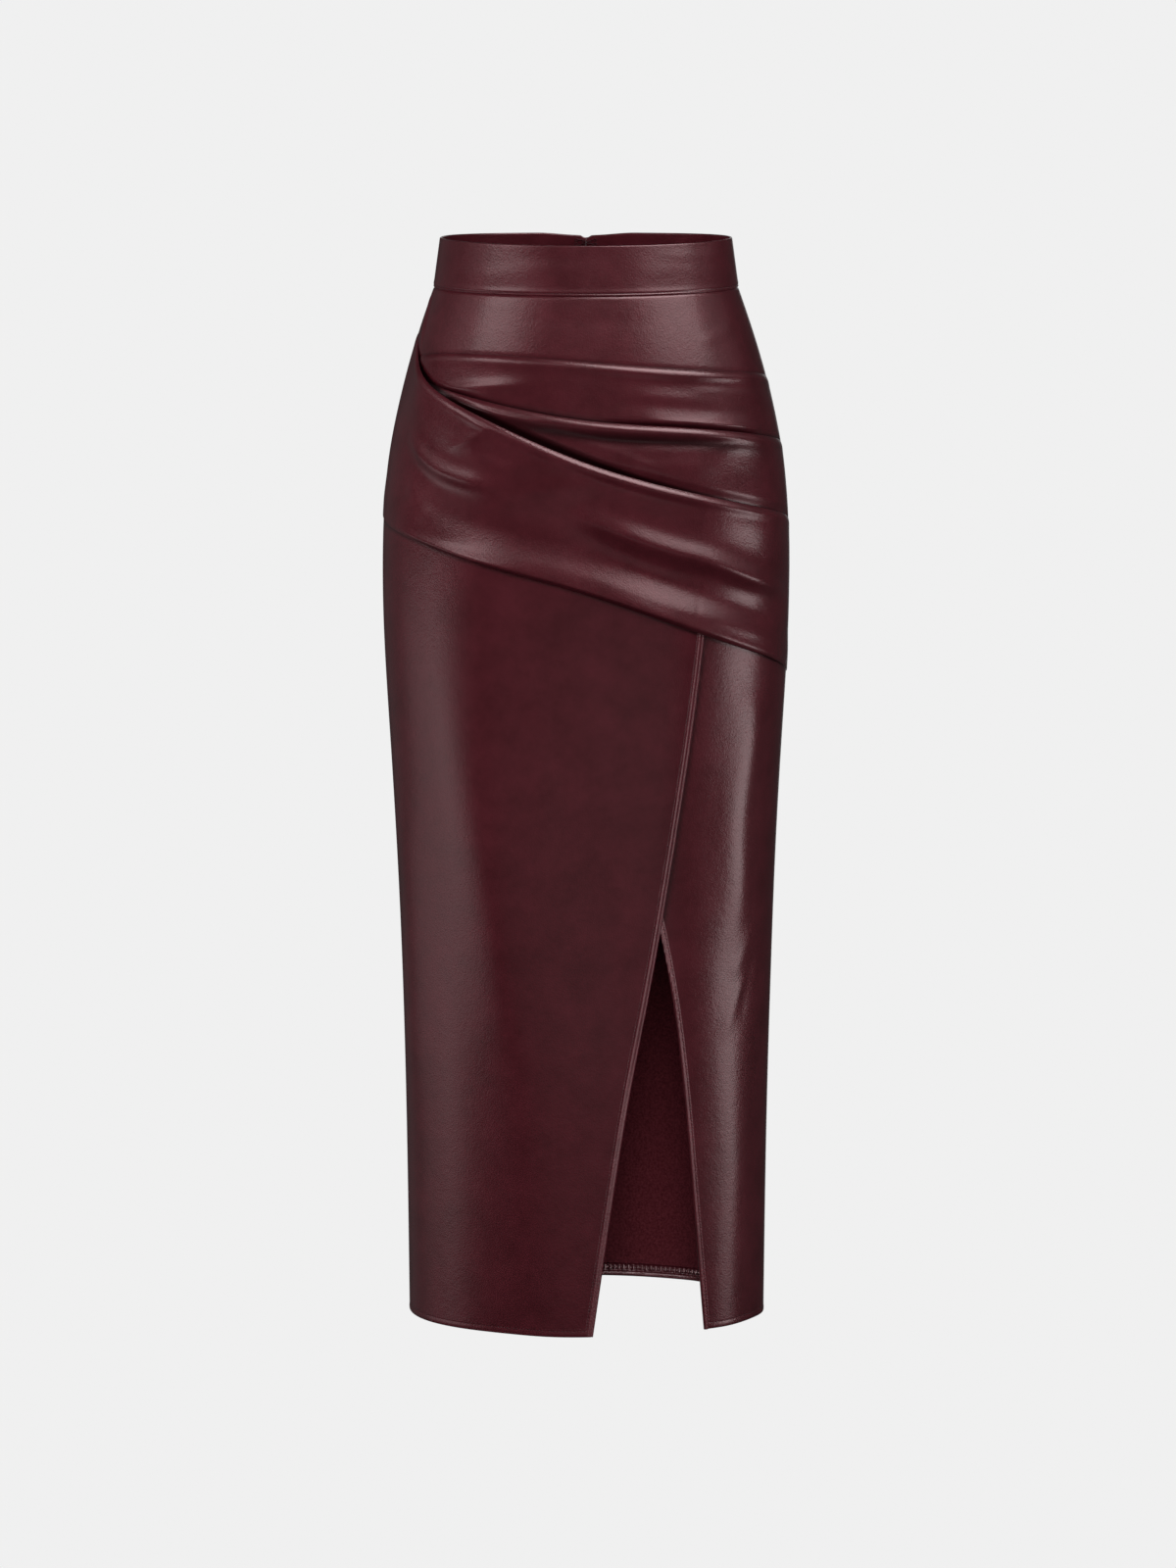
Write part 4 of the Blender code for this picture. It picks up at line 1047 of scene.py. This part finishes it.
# Painted shade: the dye darkens beside the wrap's edge down to where the roll comes free, and just under the
# sash's lower edge.
from_wrap = (under_bearing - wrap_edge(under_level)) * arc_per_degree(under_bearing, under_level)
under_painted_shade = 0.85 * fade(from_wrap, 0.6, 5.0) * fade(BEAD_FREE_LEVEL - under_level, -30.0, 30.0)
below_sash = FRONT_LINE["sash_bottom"](under_bearing) - under_level
under_painted_shade = np.maximum(under_painted_shade, 0.6 * fade(below_sash, 0.3, 4.0))
underlap = shell(
    "underlap", under_bearing, under_level, *under_skins(under_bearing, under_level), cloth, under_painted_shade
)

bead_level = np.linspace(SLIT_TOP, HEM_LEVEL + 0.3, 1100)
bead_bearing = under_edge(bead_level)
bead_line = bead_bearing, bead_level, away_from(under_edge, bead_bearing, bead_level, 1.0)
bead_fullness = 0.15 + 0.85 * fade(bead_level - BEAD_FREE_LEVEL, -20.0, 15.0)
bead = turned_edge(
    "underlap_roll", *bead_line, under_skins, BEAD_OUTSIDE, BEAD_INSIDE, bead_dents, bead_fullness
)
bead_stitches = sewn_line(
    "underlap_roll_stitches", *bead_line, BEAD_STITCH_IN, under_skins, BEAD_STITCH_SUNK, PUCKER_PITCH
)
under_hem = turned_hem("underlap_hem", float(under_edge(HEM_LEVEL)) + 0.9, SIDE, under_skins)
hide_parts("under_panel")


# ---------------------------------------------------------------- the back
# Two halves of leather with a dart each at the waist, joined by the zip and, below it, by a plain seam
# down the centre. Their hem is turned and stitched.
BACK_FOLDS = (
    # height, above, below, sharpness, crest
    (2.2, 24.0, 20.0, 2.0, ((108, -318), (132, -340), (158, -334))),
    (1.8, 30.0, 26.0, 2.0, ((138, -420), (144, -560), (140, -720), (146, -1300))),
    (0.7, 16.0, 16.0, 2.0, ((108, -356), (128, -370), (150, -366))),
    (0.9, 14.0, 12.0, 1.8, ((120, -300), (142, -310), (166, -304))),
    (2.0, 22.0, 18.0, 2.0, ((-112, -330), (-134, -352), (-152, -350))),
    (2.2, 30.0, 30.0, 2.0, ((-124, -400), (-130, -600), (-126, -780), (-128, -1300))),
    (1.0, 22.0, 20.0, 2.0, ((-140, -372), (-124, -392), (-110, -400))),
    (0.9, 12.0, 12.0, 1.8, ((-118, -296), (-140, -312), (-164, -310))),
    (0.8, 20.0, 20.0, 2.0, ((112, -520), (106, -640), (110, -790))),
    (0.8, 20.0, 20.0, 2.0, ((-154, -480), (-158, -620), (-152, -760))),
)
ZIP_BOTTOM = -205.0
SEAM_HALF_GAP = 0.25
CENTRE_MM_PER_DEGREE = 2.1
DART_BEARING = 141.0
DART_MM_PER_DEGREE = 2.2
DART_END = 128.0
DART_COLUMNS = (0.1, 0.28, 0.5, 0.75, 1.1, 1.6, 2.4, 3.6)


def back_skins(bearing, level):
    """The back's inner and outer offsets: soft folds, a dart on each side and the centre seam's dip."""
    relief = fold_relief(bearing, level, BACK_FOLDS) * at_seams(bearing) * fade(np.abs(bearing), 160.0, 178.0)
    away = np.abs(np.abs(bearing) - DART_BEARING) * DART_MM_PER_DEGREE
    dart = -0.75 * bell(away, 1.5) * fade(-level, DART_END - 14.0, DART_END)
    dart = dart + 0.5 * bell(away - 5.0, 9.0) * fade(-level, DART_END - 80.0, DART_END)
    centre = -0.6 * bell((BACK - np.abs(bearing)) * CENTRE_MM_PER_DEGREE, 1.6)
    inner = relief + 0.6 * dart + seam_dip(bearing)
    return inner, inner + LEATHER + 0.4 * dart + centre


back_columns = np.unique(
    np.concatenate(
        [
            SIDE + np.array(SEAM_COLUMNS[5:]),
            np.linspace(93.0, DART_BEARING - 5.0, 27),
            DART_BEARING - np.array(DART_COLUMNS),
            DART_BEARING + np.array(DART_COLUMNS),
            np.linspace(DART_BEARING + 5.0, 176.5, 22),
            BACK + np.array(SEAM_COLUMNS[:6]),
        ]
    )
)
for side, name in ((1, "left_back"), (-1, "right_back")):
    bearings = np.sort(side * back_columns)
    top = rim_level(bearings) - BAND_HEIGHT
    level = rows_between(top, hem_level(bearings) + TURNED_STRIP, EDGE_ROWS, HEM_ROWS, 4.6)
    bearing = columns_of(bearings, level)
    last = -1 if side > 0 else 0
    half_gap = 0.004 + SEAM_HALF_GAP * fade(-level[:, last], -ZIP_BOTTOM - 8.0, -ZIP_BOTTOM)
    bearing[:, last] = side * short_of_centre(half_gap, level[:, last])
    inner, outer = back_skins(bearing, level)
    drawn_in = band_seam_dip(top - level)
    half = shell(name, bearing, level, inner - drawn_in, outer - drawn_in, cloth)
    hem_ends = sorted((side * SIDE, side * (BACK - 0.01)))
    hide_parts("back_left" if side > 0 else "back_right")
    turned_hem(name + "_hem", *hem_ends, back_skins)


# ---------------------------------------------------------------- the zip
# Two woven tapes sewn behind the closing, with a row of coiled nylon teeth between them.
TAPE_OUT = -1.05
TAPE_IN = -1.75
TAPE_STITCH_IN = 7.4
SLIDER_LEVEL = 4.0
SLIDER_HALF_HEIGHT = 4.6
TOOTH_PITCH = 1.3
TOOTH_HALF_SIZES = (1.25, 0.42, 0.55)
TOOTH_OFFSET = -1.5
TOOTH_REACH = 0.62
TAPE_RED = (0.050, 0.0085, 0.0130)
TAPE_RIB_SCALE = 2000.0 / 9.0  # 1.4 mm from rib to rib

weave, weave_tree, weave_shader = new_finish(
    "woven_tape", **{"Base Color": (*TAPE_RED, 1.0), "Roughness": 0.8}
)
ribs = add_node(weave_tree, "ShaderNodeTexWave", bands_direction="Z", Scale=TAPE_RIB_SCALE)
add_relief(weave_tree, weave_shader, ribs, strength=0.7, distance=0.0003)

nylon, nylon_tree, nylon_shader = new_finish(
    "nylon_teeth", **{"Base Color": (*TAPE_RED, 1.0), "Roughness": 0.38}
)
nylon_flow = add_node(nylon_tree, "ShaderNodeTexNoise", Scale=900.0, Detail=1.0)
add_relief(nylon_tree, nylon_shader, nylon_flow, strength=0.2, distance=0.0001)

tape_levels = np.linspace(SLIDER_LEVEL + SLIDER_HALF_HEIGHT + 1.0, ZIP_BOTTOM, 90)[:, None]
tape_distances = np.array([11.0, 10.8, 10.4, 9.0, 7.0, 5.0, 3.4, 2.6, 1.8, 1.2, 1.0])
for side, name in ((1, "left_tape"), (-1, "right_tape")):
    distances = tape_distances[::side]
    bearing = side * (BACK - distances / arc_per_degree(BACK - 1.0, tape_levels)[:, 0:1])
    level = np.tile(tape_levels, (1, len(distances)))
    cord_edge = 0.25 * bell(distances - 1.8, 1.0)
    inner = np.full(level.shape, TAPE_IN) - cord_edge
    outer = np.full(level.shape, TAPE_OUT)
    tape = shell(name, bearing, level, inner, outer, [weave, weave])
    seam = tape_levels[:, 0]
    sewn_bearing = side * short_of_centre(TAPE_STITCH_IN, seam)
    sewn = stitches(name + "_stitches", sewn_bearing, seam, np.full(seam.shape, TAPE_IN - 0.05))
    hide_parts("zip_tape_left" if side > 0 else "zip_tape_right")

tooth_levels = np.arange(ZIP_BOTTOM + 3.0, SLIDER_LEVEL - SLIDER_HALF_HEIGHT, TOOTH_PITCH / 2)
tooth_sides = np.where(np.arange(len(tooth_levels)) % 2 > 0, 1.0, -1.0)
tooth_bearings = np.full(len(tooth_levels), BACK)
tooth_middle = skin_point(tooth_bearings, tooth_levels, np.full(len(tooth_levels), TOOTH_OFFSET))
tooth_middle[:, 0] = TOOTH_REACH * tooth_sides
tooth_ahead = np.stack([tooth_sides, 0.0 * tooth_sides, 0.12 * tooth_sides], axis=1)
tooth_out = np.tile([0.0, 1.0, 0.0], (len(tooth_levels), 1))
teeth = set_down("zip_teeth", tooth_middle, tooth_ahead, tooth_out, TOOTH_HALF_SIZES, nylon)


# ---------------------------------------------------------------- the slider and its pull
# A small nickel-plated slider behind the closing. Its drop-shaped pull hangs outside from a round bail
# and swings up on its crossbar.
PIVOT_HEIGHT = 1.3
PULL_THICKNESS = 0.86
PULL_WAIST = 0.53
PULL_ROWS = (
    # level, half_width of each cross-section, from the crossbar down
    (0.50, 2.0),
    (-0.50, 2.05),
    (-2.65, 2.05),
    (-3.4, 2.0),
    (-6.0, 1.95),
    (-9.0, 1.95),
    (-13.0, 2.2),
    (-17.0, 2.6),
    (-20.5, 2.9),
    (-23.0, 2.95),
    (-24.8, 2.4),
    (-25.7, 1.4),
    (-25.95, 0.6),
)
SLOT_HEAD, SLOT_FOOT = PULL_ROWS[1][0], PULL_ROWS[2][0]
NICKEL = (0.42, 0.40, 0.385)

nickel, nickel_tree, nickel_shader = new_finish(
    "nickel_plate", **{"Base Color": (*NICKEL, 1.0), "Metallic": 1.0}
)
handling = add_node(nickel_tree, "ShaderNodeTexNoise", Scale=600.0, Detail=4.0)
add_relief(nickel_tree, nickel_shader, handling, strength=0.08, distance=0.0001)
polish = add_node(nickel_tree, "ShaderNodeMapRange", **{"To Min": 0.18, "To Max": 0.34})
nickel_tree.links.new(handling.outputs["Fac"], polish.inputs["Value"])
nickel_tree.links.new(polish.outputs["Result"], nickel_shader.inputs["Roughness"])

band_top, band_foot = (
    Vector(skin_point(np.array(BACK), np.array(level), np.array(BAND_OUT)))
    for level in (SLIDER_LEVEL, SLIDER_LEVEL - BAND_HEIGHT / 2)
)
up_the_band = (band_top - band_foot).normalized()
out_of_band = Vector((0.0, up_the_band.z, -up_the_band.y))
hang = Matrix((Vector((1.0, 0.0, 0.0)), out_of_band, up_the_band)).transposed().to_4x4()
hang.translation = (band_top + out_of_band * PIVOT_HEIGHT) * MM

bpy.ops.object.select_all(action="DESELECT")
bpy.ops.mesh.primitive_grid_add(x_subdivisions=3, y_subdivisions=len(PULL_ROWS) - 1, size=2.0)
pull = bpy.context.object
pull.name = "drop_pull"
pull.data.name = "drop_pull"
across_at = sorted({round(corner.co.x, 4) for corner in pull.data.vertices})
row_at = sorted({round(corner.co.y, 4) for corner in pull.data.vertices}, reverse=True)
for corner in pull.data.vertices:
    level, half_width = PULL_ROWS[row_at.index(round(corner.co.y, 4))]
    outermost = round(corner.co.x, 4) in (across_at[0], across_at[-1])
    share = 1.0 if outermost else PULL_WAIST
    corner.co = (math.copysign(share * half_width, corner.co.x) * MM, 0.0, level * MM)
bpy.ops.object.mode_set(mode="EDIT")
bpy.ops.mesh.select_mode(type="FACE")
bpy.ops.mesh.select_all(action="DESELECT")
bpy.ops.object.mode_set(mode="OBJECT")
for face in pull.data.polygons:
    in_slot = SLOT_FOOT * MM < face.center.z < SLOT_HEAD * MM
    face.select = in_slot and abs(face.center.x) < 0.1 * MM
bpy.ops.object.mode_set(mode="EDIT")
bpy.ops.mesh.delete(type="FACE")
bpy.ops.object.mode_set(mode="OBJECT")
thicken = pull.modifiers.new("thickness", "SOLIDIFY")
thicken.thickness = PULL_THICKNESS * MM
thicken.offset = 0.0
bpy.ops.object.modifier_apply(modifier=thicken.name)
soften = pull.modifiers.new("soften", "BEVEL")
soften.width = 0.16 * MM
soften.segments = 2
bpy.ops.object.modifier_apply(modifier=soften.name)
smooth = pull.modifiers.new("smooth", "SUBSURF")
smooth.levels = 2
smooth.render_levels = 2
bpy.ops.object.modifier_apply(modifier=smooth.name)
pull.matrix_world = hang
bpy.ops.object.transform_apply(location=True, rotation=True, scale=True)
bpy.ops.object.shade_smooth()
pull.data.materials.append(nickel)
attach(pull, "pull_tab")
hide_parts("zip_pull")

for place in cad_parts["zip_slider"].material_slots:
    place.material = nickel

# The hook and its eye are bent from wire under a dark red lacquer.
WIRE_RED = (0.030, 0.0030, 0.0055)
wire = new_finish(
    "lacquered_wire", **{"Base Color": (*WIRE_RED, 1.0), "Roughness": 0.38, "Specular IOR Level": 0.08}
)[0]
for node in ("hook", "hook_eye"):
    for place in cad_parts[node].material_slots:
        place.material = wire


# ---------------------------------------------------------------- the studio
# An evenly lit pale room and floor. Tall boxes with fabric fronts stand round the skirt, a long one
# hangs over it, and weak lamps fill the shade. Distances here are in metres, heights are over the
# waistband's middle, and azimuths are in degrees from the camera towards the wearer's left.
PALE = (0.871, 0.871, 0.871)
ROOM_STRENGTH = 0.05
FLOOR_SIZE = 8.0
FLOOR_LEVEL = -1.6
MIDDLE = Vector((0.0, 0.0, -0.40))

studio = bpy.context.scene
studio.view_settings.view_transform = "Standard"
room = bpy.data.worlds.new("studio")
studio.world = room
room.use_nodes = True
room_tree = room.node_tree
room_light = room_tree.nodes["Background"]
seen = add_node(room_tree, "ShaderNodeBackground")
seen.inputs["Color"].default_value = (*PALE, 1.0)
room_light.inputs["Color"].default_value = (*PALE, 1.0)
room_light.inputs["Strength"].default_value = ROOM_STRENGTH
ray = add_node(room_tree, "ShaderNodeLightPath")
choose = add_node(room_tree, "ShaderNodeMixShader")
room_tree.links.new(ray.outputs["Is Camera Ray"], choose.inputs["Fac"])
room_tree.links.new(room_light.outputs["Background"], choose.inputs[1])
room_tree.links.new(seen.outputs["Background"], choose.inputs[2])
room_tree.links.new(choose.outputs["Shader"], room_tree.nodes["World Output"].inputs["Surface"])

glow = bpy.data.materials.new("pale_paper")
glow.use_nodes = True
glow_tree = glow.node_tree
glow_light = add_node(glow_tree, "ShaderNodeEmission")
glow_light.inputs["Color"].default_value = (*PALE, 1.0)
glow_tree.links.new(glow_light.outputs["Emission"], glow_tree.nodes["Material Output"].inputs["Surface"])

bpy.ops.object.select_all(action="DESELECT")
bpy.ops.mesh.primitive_plane_add(size=FLOOR_SIZE, location=(0.0, 0.0, FLOOR_LEVEL))
floor = bpy.context.object
floor.name = "floor"
floor.data.materials.append(glow)
floor.visible_glossy = False
floor.visible_diffuse = False
floor.visible_shadow = False

SOFTBOXES = (
    # name, first and last azimuth, height of foot and head, radiance, azimuths where it is full and
    # where it is out, height over which it comes up from its foot
    ("right_box", 20.0, 67.0, 0.33, 1.90, 4.4, 40.0, 19.0, 0.54),
    ("left_box", -60.0, -20.0, 0.33, 1.90, 4.6, -43.0, -20.0, 0.54),
    ("front_box", -26.0, 30.0, 1.42, 1.90, 2.4, 30.0, -80.0, 0.25),
    ("right_wing", 67.0, 112.0, 0.20, 1.90, 0.6, 70.0, 116.0, 0.50),
    ("left_wing", -112.0, -60.0, 0.20, 1.90, 0.7, -62.0, -114.0, 0.50),
    ("right_strip", 57.0, 86.0, -1.75, -0.56, 5.2, 65.0, 57.0, 0.95),
    ("left_strip", -76.0, -46.0, -1.85, -0.48, 1.9, -70.0, -45.0, 0.95),
    ("left_low_wing", -112.0, -76.0, -1.85, -0.48, 1.3, -78.0, -112.0, 0.95),
    ("front_strip", -34.0, 34.0, -1.70, -0.62, 0.42, 34.0, -60.0, 0.60),
    ("left_side", -150.0, -96.0, -1.95, 0.9, 0.12, -96.0, -170.0, 0.01),
    ("right_side", 96.0, 150.0, -1.95, 0.9, 0.07, 90.0, 96.0, 0.01),
    ("right_rim", 160.0, 174.0, -1.95, 0.9, 0.8, 170.0, 158.0, 0.01),
    ("left_rim", -180.0, -170.0, -1.95, 0.9, 0.8, -176.0, -168.0, 0.01),
    ("edge_box", -4.0, 58.0, -1.60, -0.60, 3.2, 46.0, 60.0, 0.40),
)
BOX_DISTANCE = 2.4


def gloss_light(name, width, height, radiance, place, target):
    """A rectangular light that the skirt mirrors, but that adds nothing to its colour."""
    light = bpy.data.lights.new(name, "AREA")
    light.shape = "RECTANGLE"
    light.size = width
    light.size_y = height
    light.energy = radiance * math.pi * width * height
    holder = bpy.data.objects.new(name, light)
    bpy.context.scene.collection.objects.link(holder)
    holder.location = place
    holder.rotation_euler = (target - place).to_track_quat("-Z", "Y").to_euler()
    holder.visible_camera = False
    holder.visible_diffuse = False
    return holder


def softbox(name, first, last, foot, head, radiance, full, none, rise):
    """A tall box that stands round the skirt and fades towards one side and its foot."""
    half = math.radians(last - first) / 2
    turn = math.radians(first + last) / 2
    centre = Vector((0.0, 0.0, (foot + head) / 2))
    way = Vector((math.sin(turn), -math.cos(turn), 0.0))
    width = 2 * BOX_DISTANCE * math.tan(half)
    holder = gloss_light(name, width, head - foot, radiance, centre + way * BOX_DISTANCE, centre)
    holder.data.use_nodes = True
    tree = holder.data.node_tree
    surface = add_node(tree, "ShaderNodeNewGeometry").outputs["Parametric"]
    place = add_node(tree, "ShaderNodeSeparateXYZ")
    edge = [0.5 + 0.5 * math.tan(math.radians(at) - turn) / math.tan(half) for at in (none, full)]
    across = {"From Min": edge[0], "From Max": edge[1]}
    sideways = add_node(tree, "ShaderNodeMapRange", interpolation_type="SMOOTHSTEP", **across)
    up = {"From Max": rise / (head - foot)}
    upwards = add_node(tree, "ShaderNodeMapRange", interpolation_type="SMOOTHSTEP", **up)
    both_ways = add_node(tree, "ShaderNodeMath", operation="MULTIPLY")
    tree.links.new(surface, place.inputs["Vector"])
    tree.links.new(place.outputs["X"], sideways.inputs["Value"])
    tree.links.new(place.outputs["Y"], upwards.inputs["Value"])
    tree.links.new(sideways.outputs["Result"], both_ways.inputs[0])
    tree.links.new(upwards.outputs["Result"], both_ways.inputs[1])
    tree.links.new(both_ways.outputs["Value"], tree.nodes["Emission"].inputs["Strength"])
    return holder


def grouped(name, pieces):
    """A collection of pieces that a light treats alike."""
    group = bpy.data.collections.new(name)
    for piece in pieces:
        group.objects.link(piece)
    return group


boxes = {box[0]: softbox(*box) for box in SOFTBOXES}

# The strip at the right is flagged off the wrap, whose curve would mirror it whole from the side. The
# edge box falls only on the stitched edges beside the slit.
flagged = grouped("flagged_off_the_right_strip", (wrap, wrap_welt))
for place in flagged.collection_objects:
    place.light_linking.link_state = "EXCLUDE"
boxes["right_strip"].light_linking.receiver_collection = flagged
boxes["edge_box"].light_linking.receiver_collection = grouped("stitched_edges", (wrap_welt, bead))

# Weak sheets of light before and behind the skirt even out the shade and are never mirrored.
FILLS = (
    # across, before, height, size, watts
    (0.0, 3.1, 1.45, 1.2, 38.0),
    (0.0, 3.7, 0.1, 0.9, 26.0),
    (-2.6, 1.0, 0.5, 1.2, 34.0),
    (2.6, 1.0, 0.5, 1.2, 25.0),
    (0.0, -3.2, 1.2, 1.6, 70.0),
)
for across, before, height, size, watts in FILLS:
    light = bpy.data.lights.new("fill", "AREA")
    light.size = size
    light.energy = watts
    holder = bpy.data.objects.new("fill", light)
    bpy.context.scene.collection.objects.link(holder)
    holder.location = (across, -before, height)
    holder.rotation_euler = (MIDDLE - holder.location).to_track_quat("-Z", "Y").to_euler()
    holder.visible_glossy = False
    holder.visible_camera = False

# A long box overhead draws the bright line along every fold.
gloss_light("overhead", width=2.1, height=1.3, radiance=9.0, place=Vector((1.0, -0.95, 1.90)), target=MIDDLE)

# A small low light that only the turned hem inside the slit mirrors.
hem_lamp = gloss_light(
    "hem_lamp",
    width=0.36,
    height=0.10,
    radiance=14.0,
    place=Vector((-0.24, -0.50, -1.12)),
    target=Vector((0.05, 0.12, -0.90)),
)
back_hems = [bpy.data.objects[name] for name in ("left_back_hem", "right_back_hem")]
hem_lamp.light_linking.receiver_collection = grouped("turned_hems", back_hems)

# The camera stands 4.2 metres away, a little above the waist.
EYE = Vector((0.0017, -4.1624, 0.1105))
LOOK_AT = Vector((0.0017, 0.0, -0.4505))
SENSOR_HEIGHT = 36.0
LENS = 111.17
camera_data = bpy.data.cameras.new("camera")
camera_data.sensor_fit = "VERTICAL"
camera_data.sensor_height = SENSOR_HEIGHT
camera_data.lens = LENS
camera = bpy.data.objects.new("camera", camera_data)
bpy.context.scene.collection.objects.link(camera)
camera.location = EYE
camera.rotation_euler = (LOOK_AT - EYE).to_track_quat("-Z", "Y").to_euler()
studio.camera = camera
